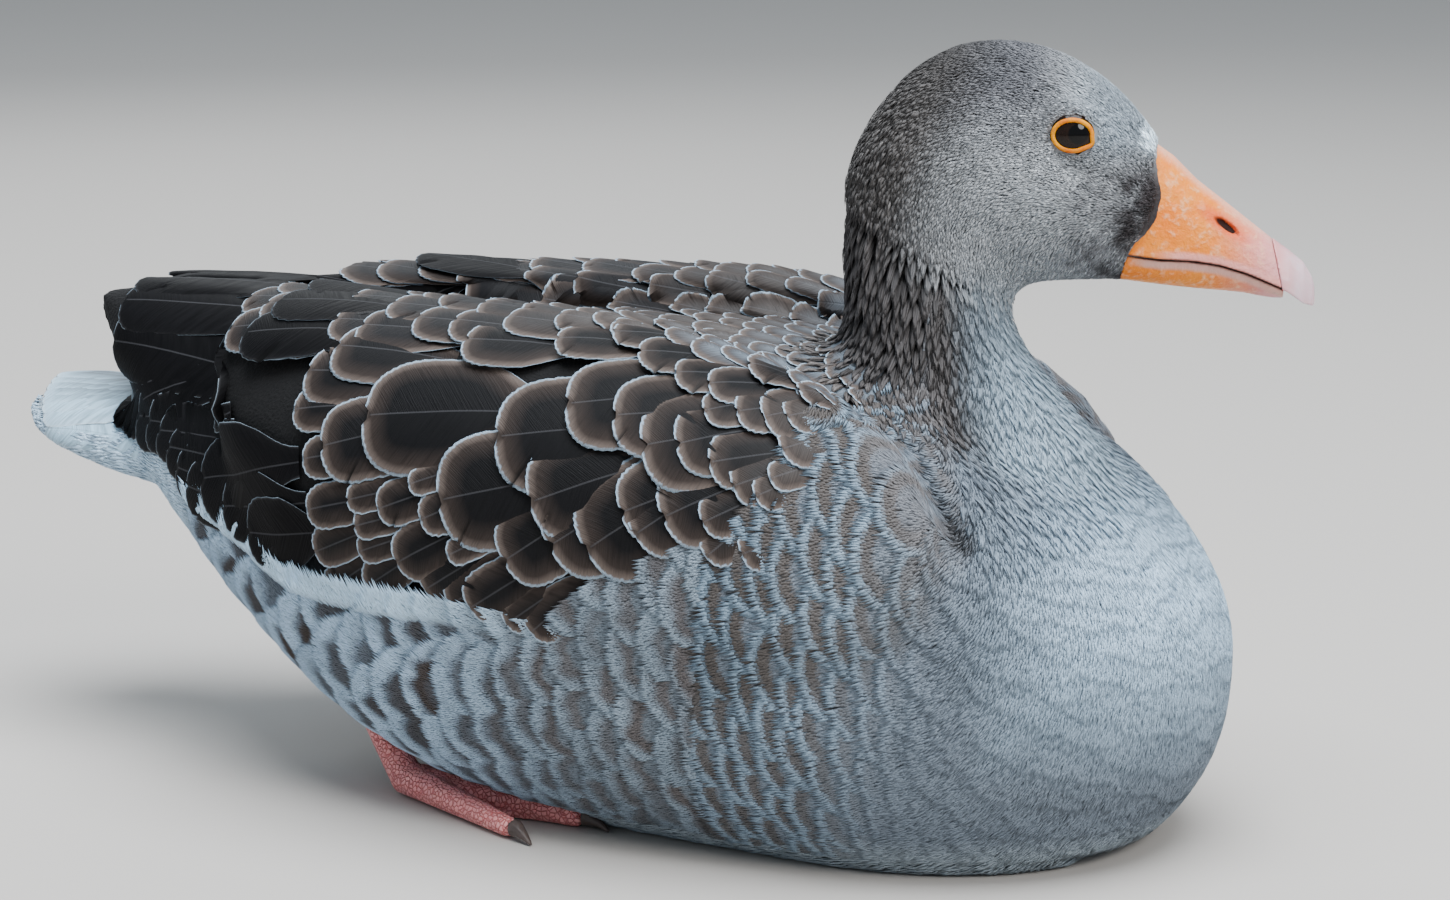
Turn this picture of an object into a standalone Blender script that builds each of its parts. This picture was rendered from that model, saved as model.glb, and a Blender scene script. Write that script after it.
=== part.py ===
"""Life-size model of a grey domestic goose that sits on its belly with its head turned to its left.

The bird faces +X, +Y is its left and +Z is up. The floor is z = 0. Metres throughout.
Trunk, neck and head are modelled as one smooth body, which flat cuts then part. The wings, primaries,
tail, bill, eyes and feet are solids of their own, and each fits its neighbours with a small gap.
"""
import math

import bmesh
import bpy
from mathutils import Matrix, Vector

# ---- Driving dimensions -------------------------------------------------------------------------
GAP = 0.0003                 # between neighbouring solids
FIT = 0.0004                 # how much bigger a piece's seat is than the piece
MIDDLE_X = -0.0397           # halfway between the tips of the bill and the tail, which becomes x = 0

BODY_VOXEL = 0.0050          # grid of the smooth body
BODY_TRIANGLES = 2400        # of trunk, neck and head together
BODY_SMOOTHING = 5

HEAD_PIVOT = Vector((0.066, 0.0, 0.0))   # a point of the upright line that the head turns about
HEAD_YAW = math.radians(20.0)            # to the bird's left
EYE_RADIUS = 0.0085
EYE_AHEAD = 0.0463           # of the pivot
EYE_HEIGHT = 0.2169
EYE_SIDE = 0.0148            # from the head's middle to the eyeball's centre

# Trunk: (x, height of the widest level, half-width, depth above it, depth below it)
TRUNK = (
    (-0.215, 0.106, 0.026, 0.009, 0.010),
    (-0.200, 0.104, 0.038, 0.016, 0.018),
    (-0.170, 0.098, 0.058, 0.031, 0.036),
    (-0.140, 0.091, 0.076, 0.046, 0.054),
    (-0.100, 0.082, 0.091, 0.063, 0.073),
    (-0.050, 0.077, 0.099, 0.074, 0.083),
    (0.000, 0.075, 0.101, 0.076, 0.087),
    (0.050, 0.070, 0.097, 0.077, 0.086),
)
BREAST_START = 0.050         # the round front of the trunk begins here
BREAST_TIP = 0.1655
BREAST_HEIGHT = 0.057        # of its foremost point
BREAST_POWERS = (1.7, 2.3)   # of its curve above and below that point: 2 is an ellipse, more is fuller
SECTION_TOP = 2.35           # the same for the trunk's cross-section
SECTION_BOTTOM = 2.2
TRUNK_POINTS = 36
TRUNK_RINGS = 30

# Neck: (x, z, half-depth fore and aft, half-width)
NECK = (
    (0.096, 0.070, 0.0500, 0.0540),
    (0.091, 0.100, 0.0430, 0.0460),
    (0.080, 0.126, 0.0335, 0.0350),
    (0.0715, 0.147, 0.0265, 0.0280),
    (0.0680, 0.168, 0.0238, 0.0250),
    (0.0670, 0.192, 0.0232, 0.0240),
    (0.0700, 0.212, 0.0215, 0.0220),
)
NECK_POINTS = 28
NECK_RINGS = 20

# Head, in its own frame: (distance ahead of the pivot, top, bottom, half-width)
HEAD = (
    (-0.0222, 0.2000, 0.1880, 0.0040),
    (-0.0190, 0.2095, 0.1790, 0.0125),
    (-0.0115, 0.2235, 0.1725, 0.0190),
    (-0.0020, 0.2345, 0.1695, 0.0228),
    (0.0080, 0.2415, 0.1685, 0.0250),
    (0.0200, 0.2445, 0.1685, 0.0258),
    (0.0330, 0.2435, 0.1695, 0.0252),
    (0.0450, 0.2395, 0.1700, 0.0236),
    (0.0550, 0.2335, 0.1702, 0.0212),
    (0.0640, 0.2255, 0.1706, 0.0180),
    (0.0710, 0.2165, 0.1712, 0.0152),
    (0.0800, 0.2065, 0.1730, 0.0125),
)
HEAD_POINTS = 28
HEAD_RINGS = 24
HEAD_WIDEST = 0.44           # level of the cheeks, as a share of the head's height

# Bill, in the head's frame: (distance ahead, height), and half-widths
CULMEN = ((0.0560, 0.2200), (0.0721, 0.2125), (0.0774, 0.2082), (0.0820, 0.2033), (0.0900, 0.1971),
          (0.1035, 0.1866), (0.1110, 0.1808), (0.1160, 0.1768), (0.1186, 0.1728), (0.1197, 0.1685))
MOUTH_LINE = ((0.0560, 0.1815), (0.0630, 0.1800), (0.0727, 0.1786), (0.0815, 0.1783), (0.0903, 0.1771),
              (0.0991, 0.1745), (0.1079, 0.1707), (0.1128, 0.1682), (0.1165, 0.1652), (0.1197, 0.1640))
CHIN_LINE = ((0.0560, 0.1712), (0.0619, 0.1710), (0.0707, 0.1700), (0.0818, 0.1688), (0.0981, 0.1676),
             (0.1060, 0.1662), (0.1105, 0.1662))
BILL_WIDTH = ((0.0560, 0.0142), (0.0700, 0.0133), (0.0850, 0.0120), (0.1000, 0.0110), (0.1080, 0.0100),
              (0.1140, 0.0078), (0.1175, 0.0052), (0.1197, 0.0022))
BILL_BACK = 0.0560
JAW_NARROWER = 0.0014        # the lower bill's sides lie this far inside the upper bill's
BILL_POINTS = 13
BILL_RINGS = 14
FEATHER_EDGE = ((0.0800, 0.2350), (0.0719, 0.2131), (0.0709, 0.2060), (0.0716, 0.1985), (0.0706, 0.1930),
                (0.0677, 0.1874), (0.0634, 0.1811), (0.0624, 0.1770), (0.0612, 0.1720), (0.0600, 0.1600))
NAIL_LINE = ((0.1060, 0.1880), (0.1118, 0.1620))   # where the nail meets the bill
NOSTRIL = (0.0930, 0.1886)   # middle of the slit
NOSTRIL_SIZE = (0.0054, 0.0035, 0.0016)            # half-length, half-depth, half-height
NOSTRIL_TILT = math.radians(36.0)

# Where the flat cuts part the body: a point (x, z) and the way up out of the plane
NECK_CUT = ((0.040, 0.150), (0.39, 0.92))
HEAD_CUT = ((0.0220, 0.1690), (0.537, 0.844))      # in the head's frame

# Folded wings: (x, height of the widest level, half-width, depth above it, upper edge, lower edge, thickness)
# The edges are angles in degrees from the top. The widths give the wing's outer face.
WING = (
    (0.104, 0.072, 0.0860, 0.062, 58.0, 84.0, 0.006),
    (0.090, 0.072, 0.0930, 0.074, 40.0, 94.0, 0.013),
    (0.050, 0.074, 0.1040, 0.088, 26.0, 97.0, 0.018),
    (0.000, 0.077, 0.1090, 0.093, 18.0, 97.0, 0.020),
    (-0.050, 0.079, 0.1080, 0.089, 12.0, 96.0, 0.019),
    (-0.100, 0.084, 0.0990, 0.081, 8.0, 92.0, 0.018),
    (-0.135, 0.092, 0.0850, 0.070, 7.0, 80.0, 0.013),
    (-0.152, 0.098, 0.0730, 0.062, 8.0, 62.0, 0.006),
)
WING_SECTION = 2.7           # how square the outer face is
WING_RINGS = 16
WING_SPAN = 9

# Folded primaries over the tail: (x, inner edge y and z, outer edge y and z, half-thickness)
PRIMARIES = (
    (-0.114, 0.020, 0.146, 0.066, 0.106, 0.0035),
    (-0.150, 0.009, 0.1550, 0.060, 0.104, 0.0050),
    (-0.185, 0.006, 0.1545, 0.043, 0.110, 0.0050),
    (-0.210, 0.005, 0.1530, 0.026, 0.122, 0.0040),
    (-0.227, 0.004, 0.1495, 0.014, 0.134, 0.0025),
    (-0.2320, 0.004, 0.1470, 0.008, 0.1425, 0.0012),
)
PRIMARY_BOW = 0.006          # how far the middle of their section stands out
TAIL = (
    # x, height of its middle, half-width, half-thickness
    (-0.180, 0.1010, 0.035, 0.0160),
    (-0.205, 0.1035, 0.038, 0.0135),
    (-0.230, 0.1075, 0.037, 0.0090),
    (-0.250, 0.1115, 0.028, 0.0045),
    (-0.2585, 0.1130, 0.016, 0.0022),
)
TAIL_ARCH = 0.007            # how far its sides hang below its middle

# Feet, tucked under the flanks: toe length and how far it turns out from straight ahead
FOOT_JOINT = Vector((-0.088, 0.052, 0.0055))       # of the left foot, where the toes meet the shank
ANKLE = Vector((-0.116, 0.036, 0.0340))
TOES = (("inner", 0.052, math.radians(-14.0)), ("middle", 0.066, math.radians(7.0)),
        ("outer", 0.058, math.radians(27.0)))
TOE_RADIUS = 0.0042
SHANK_RADIUS = 0.0055
CLAW_LENGTH = 0.009
CLAW_RADIUS = 0.0030
WEB_LEVELS = (0.0004, 0.0024)  # of its underside and its top


# ---- Helpers --------------------------------------------------------------------------------------
def along(stations, x):
    """The stations' values at x, on a smooth curve through them. The stations run up or down in x."""
    rows = sorted(stations)
    x = min(max(x, rows[0][0]), rows[-1][0])
    i = max(k for k in range(len(rows) - 1) if rows[k][0] <= x)
    step = rows[i + 1][0] - rows[i][0]
    t = (x - rows[i][0]) / step

    def slope(k, column):
        low, high = rows[max(k - 1, 0)], rows[min(k + 1, len(rows) - 1)]
        return (high[column] - low[column]) / (high[0] - low[0])

    values = []
    for column in range(1, len(rows[0])):
        a, b = rows[i][column], rows[i + 1][column]
        ma, mb = slope(i, column) * step, slope(i + 1, column) * step
        values.append((2 * t**3 - 3 * t**2 + 1) * a + (t**3 - 2 * t**2 + t) * ma
                      + (3 * t**2 - 2 * t**3) * b + (t**3 - t**2) * mb)
    return values


def power(value, exponent):
    return math.copysign(abs(value) ** (2.0 / exponent), value)


def steps(start, end, count):
    return [start + (end - start) * i / (count - 1) for i in range(count)]


def eased(start, end, count):
    """Like steps, but closer together towards both ends, which suits round ends."""
    return [start + (end - start) * (0.5 - 0.5 * math.cos(math.pi * i / (count - 1))) for i in range(count)]


def turned(ahead, side):
    return Matrix.Rotation(HEAD_YAW, 3, "Z") @ Vector((ahead, side, 0.0))


def in_head(ahead, side, height):
    """A point of the head's frame, in the bird's. side is positive to the left."""
    return HEAD_PIVOT + turned(ahead, side) + Vector((0.0, 0.0, height))


def make_object(name, bm):
    bmesh.ops.recalc_face_normals(bm, faces=bm.faces)
    mesh = bpy.data.meshes.new(name)
    bm.to_mesh(mesh)
    bm.free()
    obj = bpy.data.objects.new(name, mesh)
    bpy.context.scene.collection.objects.link(obj)
    return obj


def loft(name, rings):
    """A closed solid through rings of points, all with the same number of points.

    Each end is closed by rungs between the ring's two halves, which also suits a bent, thin section.
    """
    bm = bmesh.new()
    loops = [[bm.verts.new(point) for point in ring] for ring in rings]
    for one, two in zip(loops, loops[1:]):
        for i in range(len(one)):
            j = (i + 1) % len(one)
            bm.faces.new((one[i], one[j], two[j], two[i]))
    for loop in (loops[0], loops[-1]):
        i, j = 0, len(loop) - 1
        while j - i > 2:
            bm.faces.new((loop[i], loop[i + 1], loop[j - 1], loop[j]))
            i, j = i + 1, j - 1
        if j - i == 2:
            bm.faces.new((loop[i], loop[i + 1], loop[j]))
    # A piece and its seat must bend along the same diagonals, or they would touch.
    bmesh.ops.triangulate(bm, faces=bm.faces, quad_method="FIXED")
    return make_object(name, bm)


def modified(obj, kind, **settings):
    """The object with one modifier applied to its mesh."""
    modifier = obj.modifiers.new(kind, kind)
    for key, value in settings.items():
        setattr(modifier, key, value)
    evaluated = obj.evaluated_get(bpy.context.evaluated_depsgraph_get())
    mesh = bpy.data.meshes.new_from_object(evaluated)
    obj.modifiers.clear()
    old, obj.data = obj.data, mesh
    bpy.data.meshes.remove(old)
    return obj


def boolean(obj, tool, operation="DIFFERENCE"):
    """The object with the tool cut from it, joined to it or kept as their common part. The tool goes."""
    modified(obj, "BOOLEAN", object=tool, operation=operation, solver="MANIFOLD")
    bpy.data.objects.remove(tool)
    return obj


def copy_of(obj, name):
    twin = bpy.data.objects.new(name, obj.data.copy())
    bpy.context.scene.collection.objects.link(twin)
    return twin


def sliced(obj, point, normal):
    """Keeps what lies on the side of the plane that normal points away from, and closes the cut."""
    bm = bmesh.new()
    bm.from_mesh(obj.data)
    geometry = bm.verts[:] + bm.edges[:] + bm.faces[:]
    cut = bmesh.ops.bisect_plane(bm, geom=geometry, dist=1e-6, plane_co=point, plane_no=normal,
                                 clear_outer=True)
    edges = [e for e in cut["geom_cut"] if isinstance(e, bmesh.types.BMEdge)]
    bmesh.ops.holes_fill(bm, edges=edges, sides=0)
    bmesh.ops.triangulate(bm, faces=[f for f in bm.faces if len(f.verts) > 4])
    bmesh.ops.recalc_face_normals(bm, faces=bm.faces)
    bm.to_mesh(obj.data)
    bm.free()
    return obj


def mirrored(obj, name):
    """A copy of the object on the bird's other side."""
    twin = copy_of(obj, name)
    twin.data.transform(Matrix.Scale(-1.0, 4, Vector((0.0, 1.0, 0.0))))
    twin.data.flip_normals()
    return twin


def finish(obj, colour, roughness):
    """Gives the object its own material and puts the bird's middle over the origin."""
    material = bpy.data.materials.new(obj.name)
    material.use_nodes = True
    shader = material.node_tree.nodes["Principled BSDF"]
    shader.inputs["Base Color"].default_value = (*colour, 1.0)
    shader.inputs["Roughness"].default_value = roughness
    shader.inputs["Metallic"].default_value = 0.0
    obj.data.materials.clear()
    obj.data.materials.append(material)
    obj.data.transform(Matrix.Translation((-MIDDLE_X, 0.0, 0.0)))
    obj.data.shade_smooth()
    obj.data.set_sharp_from_angle(angle=math.radians(40.0))


# ---- Trunk, neck and head ---------------------------------------------------------------------------
def trunk_size(x):
    """(height of the widest level, half-width, depth above, depth below) of the trunk at x."""
    level, width, above, below = along(TRUNK, x)
    if x > BREAST_START:
        t = min((x - BREAST_START) / (BREAST_TIP - BREAST_START), 1.0)
        level += (BREAST_HEIGHT - level) * t
        width *= math.sqrt(1.0 - t * t)
        above *= (1.0 - t ** BREAST_POWERS[0]) ** (1.0 / BREAST_POWERS[0])
        below *= (1.0 - t ** BREAST_POWERS[1]) ** (1.0 / BREAST_POWERS[1])
    return level, width, above, below


def make_trunk():
    rings = []
    for x in eased(BREAST_TIP - 0.0008, TRUNK[0][0], TRUNK_RINGS):
        level, width, above, below = trunk_size(x)
        ring = []
        for i in range(TRUNK_POINTS):
            angle = 2 * math.pi * i / TRUNK_POINTS
            side, up = math.sin(angle), math.cos(angle)
            depth, exponent = (above, SECTION_TOP) if up > 0 else (below, SECTION_BOTTOM)
            ring.append((x, width * power(side, exponent), level + depth * power(up, exponent)))
        rings.append(ring)
    return loft("trunk", rings)


def make_neck():
    by_height = [(z, x, depth, width) for x, z, depth, width in NECK]
    rings = []
    for z in steps(NECK[0][1], NECK[-1][1], NECK_RINGS):
        x, depth, width = along(by_height, z)
        lean = math.atan((along(by_height, z + 0.002)[0] - along(by_height, z - 0.002)[0]) / 0.004) / 2
        ring = []
        for i in range(NECK_POINTS):
            angle = 2 * math.pi * i / NECK_POINTS
            fore = depth * math.cos(angle)
            ring.append((x + fore * math.cos(lean), width * math.sin(angle), z - fore * math.sin(lean)))
        rings.append(ring)
    return loft("neck", rings)


def make_head():
    rings = []
    for ahead in eased(HEAD[0][0], HEAD[-1][0], HEAD_RINGS):
        top, bottom, width = along(HEAD, ahead)
        level = bottom + (top - bottom) * HEAD_WIDEST
        ring = []
        for i in range(HEAD_POINTS):
            angle = 2 * math.pi * i / HEAD_POINTS
            up = math.cos(angle)
            height = level + up * (top - level if up > 0 else level - bottom)
            ring.append(in_head(ahead, width * math.sin(angle), height))
        rings.append(ring)
    return loft("head", rings)


def make_body():
    """Trunk, neck and head as one smooth closed mesh, flat where it sits on the floor."""
    bm = bmesh.new()
    for piece in (make_trunk(), make_neck(), make_head()):
        bm.from_mesh(piece.data)
        bpy.data.objects.remove(piece)
    body = make_object("body", bm)
    modified(body, "REMESH", mode="VOXEL", voxel_size=BODY_VOXEL)
    modified(body, "SMOOTH", factor=0.5, iterations=BODY_SMOOTHING)
    modified(body, "DECIMATE", ratio=BODY_TRIANGLES / (2 * len(body.data.polygons)))
    return sliced(body, Vector((0.0, 0.0, 0.0)), Vector((0.0, 0.0, -1.0)))


def part_body(body):
    """Cuts the body into trunk, neck and head, a gap apart."""
    head_point = in_head(HEAD_CUT[0][0], 0.0, HEAD_CUT[0][1])
    head_up = (turned(HEAD_CUT[1][0], 0.0) + Vector((0.0, 0.0, HEAD_CUT[1][1]))).normalized()
    neck_point = Vector((NECK_CUT[0][0], 0.0, NECK_CUT[0][1]))
    neck_up = Vector((NECK_CUT[1][0], 0.0, NECK_CUT[1][1])).normalized()
    trunk = sliced(copy_of(body, "trunk"), neck_point - neck_up * GAP / 2, neck_up)
    neck = sliced(copy_of(body, "neck"), neck_point + neck_up * GAP / 2, -neck_up)
    neck = sliced(neck, head_point - head_up * GAP / 2, head_up)
    head = sliced(copy_of(body, "head"), head_point + head_up * GAP / 2, -head_up)
    bpy.data.objects.remove(body)
    return trunk, neck, head


# ---- Wings and tail ---------------------------------------------------------------------------------
def make_wing(name, grow=0.0):
    """The folded left wing: a curved plate with round edges, from the shoulder to the last tertials."""
    rings = []
    for x in eased(WING[0][0], WING[-1][0], WING_RINGS):
        level, width, above, upper, lower, thick = along(WING, x)
        outer = []
        inner = []
        for i, degrees in enumerate(steps(upper, lower, WING_SPAN)):
            angle = math.radians(degrees)
            side, up = power(math.sin(angle), WING_SECTION), power(math.cos(angle), WING_SECTION)
            y, z = width * side, above * up
            normal = Vector((0.0, y / width**2, z / above**2)).normalized()
            edge = 2.0 * i / (WING_SPAN - 1) - 1.0
            half = thick / 2 * (0.2 + 0.8 * math.sqrt(1.0 - edge**4))
            middle = Vector((x, y, level + z)) - normal * thick / 2
            over_edge = Vector((0.0, normal.z, -normal.y)) * grow * edge**3
            outer.append(middle + normal * (half + grow) + over_edge)
            inner.append(middle - normal * (half + grow) + over_edge)
        rings.append(outer + inner[::-1])
    rings[0] = [point + Vector((grow, 0.0, 0.0)) for point in rings[0]]
    rings[-1] = [point - Vector((grow, 0.0, 0.0)) for point in rings[-1]]
    return loft(name, rings)


def make_primaries(name, grow=0.0, points=14, count=10):
    """The left wing's primaries, one slanted blade over the tail."""
    rings = []
    for x in steps(PRIMARIES[0][0] + grow, PRIMARIES[-1][0] - grow, count):
        in_y, in_z, out_y, out_z, thick = along(PRIMARIES, x)
        inner, outer = Vector((x, in_y, in_z)), Vector((x, out_y, out_z))
        middle, half = (inner + outer) / 2, (outer - inner) / 2
        normal = Vector((0.0, -half.z, half.y)).normalized()
        half += half.normalized() * grow
        ring = []
        for i in range(points):
            angle = 2 * math.pi * i / points
            across = math.cos(angle)
            out = power(math.sin(angle), 2.6) * (thick + grow) + PRIMARY_BOW * (1.0 - across**2)
            ring.append(middle + half * across + normal * out)
        rings.append(ring)
    return loft(name, rings)


def make_tail(name, grow=0.0, points=20, count=7):
    rings = []
    for x in steps(TAIL[0][0] + grow, TAIL[-1][0] - grow, count):
        z, width, thick = along(TAIL, x)
        ring = []
        for i in range(points):
            angle = 2 * math.pi * i / points
            across = math.cos(angle)
            lift = power(math.sin(angle), 2.6) * (thick + grow)
            ring.append((x, across * (width + grow), z + lift - TAIL_ARCH * across**2))
        rings.append(ring)
    return loft(name, rings)


# ---- Bill and eyes ----------------------------------------------------------------------------------
def make_bill_half(name, upper):
    """The upper or the lower bill, from inside the head to its end."""
    end = CULMEN[-1][0] if upper else CHIN_LINE[-1][0]
    rings = []
    for ahead in eased(BILL_BACK, end, BILL_RINGS)[:-1] + [end - 0.0002]:
        mouth = along(MOUTH_LINE, ahead)[0]
        width = along(BILL_WIDTH, ahead)[0]
        if upper:
            base, reach = mouth + GAP / 2, along(CULMEN, ahead)[0] - mouth - GAP / 2
        else:
            base, reach = mouth - GAP / 2, along(CHIN_LINE, ahead)[0] - mouth + GAP / 2
            width = max(width - JAW_NARROWER, 0.0015)
            reach = min(reach, -0.0006)
        arc = [math.pi * i / (BILL_POINTS - 1) for i in range(BILL_POINTS)]
        ring = [in_head(ahead, width * power(math.cos(a), 2.2), base + reach * power(math.sin(a), 1.9))
                for a in arc]
        rings.append(ring)
    return loft(name, rings)


def prism(name, outline, half_depth):
    """A straight block across the head, with this outline in the head's side view."""
    rings = [[in_head(ahead, side, height) for ahead, height in outline] for side in (-half_depth, half_depth)]
    return loft(name, rings)


def bill_space(name, back=0.0):
    """All that lies ahead of the feathers' edge, or from a little behind it."""
    edge = [(z, s) for s, z in FEATHER_EDGE]
    heights = steps(FEATHER_EDGE[0][1], FEATHER_EDGE[-1][1], 26)
    outline = [(along(edge, z)[0] - back, z) for z in heights]
    return prism(name, outline + [(0.15, heights[-1]), (0.15, heights[0])], 0.05)


def nail_space(name, back=0.0):
    (top_s, top_z), (low_s, low_z) = NAIL_LINE
    return prism(name, [(top_s - back, top_z), (0.15, top_z), (0.15, low_z), (low_s - back, low_z)], 0.05)


def make_nostril(name, side):
    bm = bmesh.new()
    bmesh.ops.create_uvsphere(bm, u_segments=10, v_segments=6, radius=1.0)
    place = (Matrix.Translation(in_head(NOSTRIL[0], side, NOSTRIL[1])) @ Matrix.Rotation(HEAD_YAW, 4, "Z")
             @ Matrix.Rotation(NOSTRIL_TILT, 4, "Y") @ Matrix.Diagonal((*NOSTRIL_SIZE, 1.0)))
    bmesh.ops.transform(bm, verts=bm.verts, matrix=place)
    return make_object(name, bm)


def make_bill():
    upper = boolean(make_bill_half("bill_upper", True), bill_space("space"), "INTERSECT")
    lower = boolean(make_bill_half("bill_lower", False), bill_space("space"), "INTERSECT")
    nail = boolean(copy_of(upper, "bill_nail"), nail_space("space"), "INTERSECT")
    boolean(upper, nail_space("space", back=GAP))
    side = along(BILL_WIDTH, NOSTRIL[0])[0] * 0.84
    for sign in (-1.0, 1.0):
        boolean(upper, make_nostril("nostril", sign * side))
    return upper, lower, nail


def make_eye(name, side, grow=0.0):
    bm = bmesh.new()
    bmesh.ops.create_uvsphere(bm, u_segments=14, v_segments=9, radius=EYE_RADIUS + grow)
    bmesh.ops.translate(bm, verts=bm.verts, vec=in_head(EYE_AHEAD, side * EYE_SIDE, EYE_HEIGHT))
    return make_object(name, bm)


# ---- Feet -------------------------------------------------------------------------------------------
def make_limb(name, start, end, start_radius, end_radius, grow=0.0, points=8):
    """A round tapered rod with domed ends, flat where it would go through the floor."""
    axis = (end - start).normalized()
    side = Vector((0.0, 0.0, 1.0)).cross(axis).normalized()
    up = axis.cross(side)
    rings = []
    for share, size in ((-0.9, 0.45), (-0.5, 0.87), (0.0, 1.0), (None, 1.0), (0.5, 0.87), (0.9, 0.45)):
        at_end = share is None or share > 0
        if share is None:
            share = 0.0
        radius = (end_radius if at_end else start_radius) + grow
        centre = (end if at_end else start) + axis * share * radius
        ring = []
        for i in range(points):
            angle = 2 * math.pi * i / points
            point = centre + (side * math.cos(angle) + up * math.sin(angle)) * radius * size
            point.z = max(point.z, 0.0 if grow == 0.0 else -0.001)
            ring.append(point)
        rings.append(ring)
    return loft(name, rings)


def toe_end(length, turn):
    return FOOT_JOINT + Matrix.Rotation(turn, 3, "Z") @ Vector((length, 0.0, -0.0020))


def make_web(name, grow=0.0):
    """The skin between the toes: a plate on the floor whose front edge curves in between them."""
    low, high = WEB_LEVELS[0] - grow, WEB_LEVELS[1] + grow
    outline = [FOOT_JOINT]
    tips = [toe_end(length, turn) for _, length, turn in TOES]
    for one, two in zip(tips, tips[1:]):
        for share in (0.0, 0.25, 0.5, 0.75):
            point = one.lerp(two, share)
            dip = 0.30 * 4 * share * (1 - share)
            outline.append(point.lerp(FOOT_JOINT, dip + 0.04) + (point - FOOT_JOINT).normalized() * grow)
    outline.append(tips[-1].lerp(FOOT_JOINT, 0.04))
    bm = bmesh.new()
    face = bm.faces.new([bm.verts.new((p.x, p.y, low)) for p in outline])
    raised = bmesh.ops.extrude_face_region(bm, geom=[face])["geom"]
    up = Vector((0.0, 0.0, high - low))
    bmesh.ops.translate(bm, verts=[v for v in raised if isinstance(v, bmesh.types.BMVert)], vec=up)
    bmesh.ops.triangulate(bm, faces=bm.faces)
    return make_object(name, bm)


def limbs(grow=0.0):
    """The shank and the three toes, each a solid of its own."""
    pieces = [make_limb("shank", ANKLE, FOOT_JOINT, SHANK_RADIUS, SHANK_RADIUS, grow)]
    for toe, length, turn in TOES:
        pieces.append(make_limb(toe, FOOT_JOINT, toe_end(length, turn), SHANK_RADIUS, TOE_RADIUS * 0.8, grow))
    return pieces


def make_foot(name):
    foot, *toes = limbs()
    foot.name = name
    for toe in toes:
        boolean(foot, toe, "UNION")
    return boolean(foot, make_web("web"), "UNION")


def make_claw(name, length, turn, grow=0.0):
    """A short cone ahead of the toe, bent down to the floor."""
    ahead = Matrix.Rotation(turn, 3, "Z") @ Vector((1.0, 0.0, 0.0))
    side = Vector((-ahead.y, ahead.x, 0.0))
    start = toe_end(length, turn) + ahead * (TOE_RADIUS * 0.8 + GAP - grow)
    rings = []
    for share in (0.0, 0.3, 0.65, 1.0):
        radius = CLAW_RADIUS * (1.0 - 0.8 * share) + grow
        centre = start + ahead * (CLAW_LENGTH + 2 * grow) * share
        centre.z = 0.0032 * (1.0 - share**2) + 0.0008
        ring = []
        for i in range(8):
            angle = 2 * math.pi * i / 8
            point = centre + side * math.cos(angle) * radius + Vector((0.0, 0.0, math.sin(angle) * radius))
            point.z = max(point.z, 0.0)
            ring.append(point)
        rings.append(ring)
    return loft(name, rings)


def main():
    for obj in list(bpy.data.objects):
        bpy.data.objects.remove(obj)
    trunk, neck, head = part_body(make_body())

    wing = make_wing("wing_left")
    wings = [wing, mirrored(wing, "wing_right")]
    tail = make_tail("tail")
    fan = boolean(make_primaries("primaries_left"), make_wing("seat", FIT))
    boolean(fan, make_tail("seat", FIT))
    fans = [fan, mirrored(fan, "primaries_right")]
    for sided in (make_wing, make_primaries):
        left = sided("seat", FIT)
        right = mirrored(left, "seat_right")
        boolean(trunk, left)
        boolean(trunk, right)
    boolean(trunk, make_tail("seat", FIT))
    for limb in limbs(FIT) + [make_web("seat", FIT)]:
        boolean(trunk, mirrored(limb, "seat_right"))
        boolean(trunk, limb)
    for toe, length, turn in TOES:
        claw = make_claw("seat", length, turn, FIT)
        boolean(trunk, mirrored(claw, "seat_right"))
        boolean(trunk, claw)

    upper, lower, nail = make_bill()
    boolean(head, bill_space("space", back=GAP))
    eyes = []
    for name, side in (("eye_left", 1.0), ("eye_right", -1.0)):
        eyes.append(make_eye(name, side))
        boolean(head, make_eye("socket", side, FIT))

    foot = make_foot("foot_left")
    feet = [foot, mirrored(foot, "foot_right")]
    claws = []
    for toe, length, turn in TOES:
        claw = make_claw(f"claw_left_{toe}", length, turn)
        claws += [claw, mirrored(claw, f"claw_right_{toe}")]

    for obj in (trunk, neck, head):
        finish(obj, (0.26, 0.24, 0.22), 0.8)
    for obj in wings + fans + [tail]:
        finish(obj, (0.09, 0.075, 0.065), 0.7)
    for obj in (upper, lower):
        finish(obj, (0.75, 0.30, 0.10), 0.45)
    finish(nail, (0.75, 0.55, 0.48), 0.4)
    for obj in eyes:
        finish(obj, (0.03, 0.015, 0.01), 0.1)
    for obj in feet:
        finish(obj, (0.62, 0.28, 0.20), 0.6)
    for obj in claws:
        finish(obj, (0.05, 0.035, 0.03), 0.4)


main()
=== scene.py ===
# %% [markdown]
# # A resting goose, life size
# A domestic goose lies with its legs folded under it, its wings closed and its head turned a little
# to its left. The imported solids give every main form. This lesson clothes them: one skin stands in
# for the flesh, and thousands of separate feathers, all solid mesh, lie over it. The bill, the eyes,
# the feet and the claws are made again from their solids with finer skin, horn and gloss.

# %% Loading the fixed frame
import math
import time

import bmesh
import bpy
import numpy as np
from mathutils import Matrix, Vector
from mathutils.bvhtree import BVHTree
from mathutils.kdtree import KDTree


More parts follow.
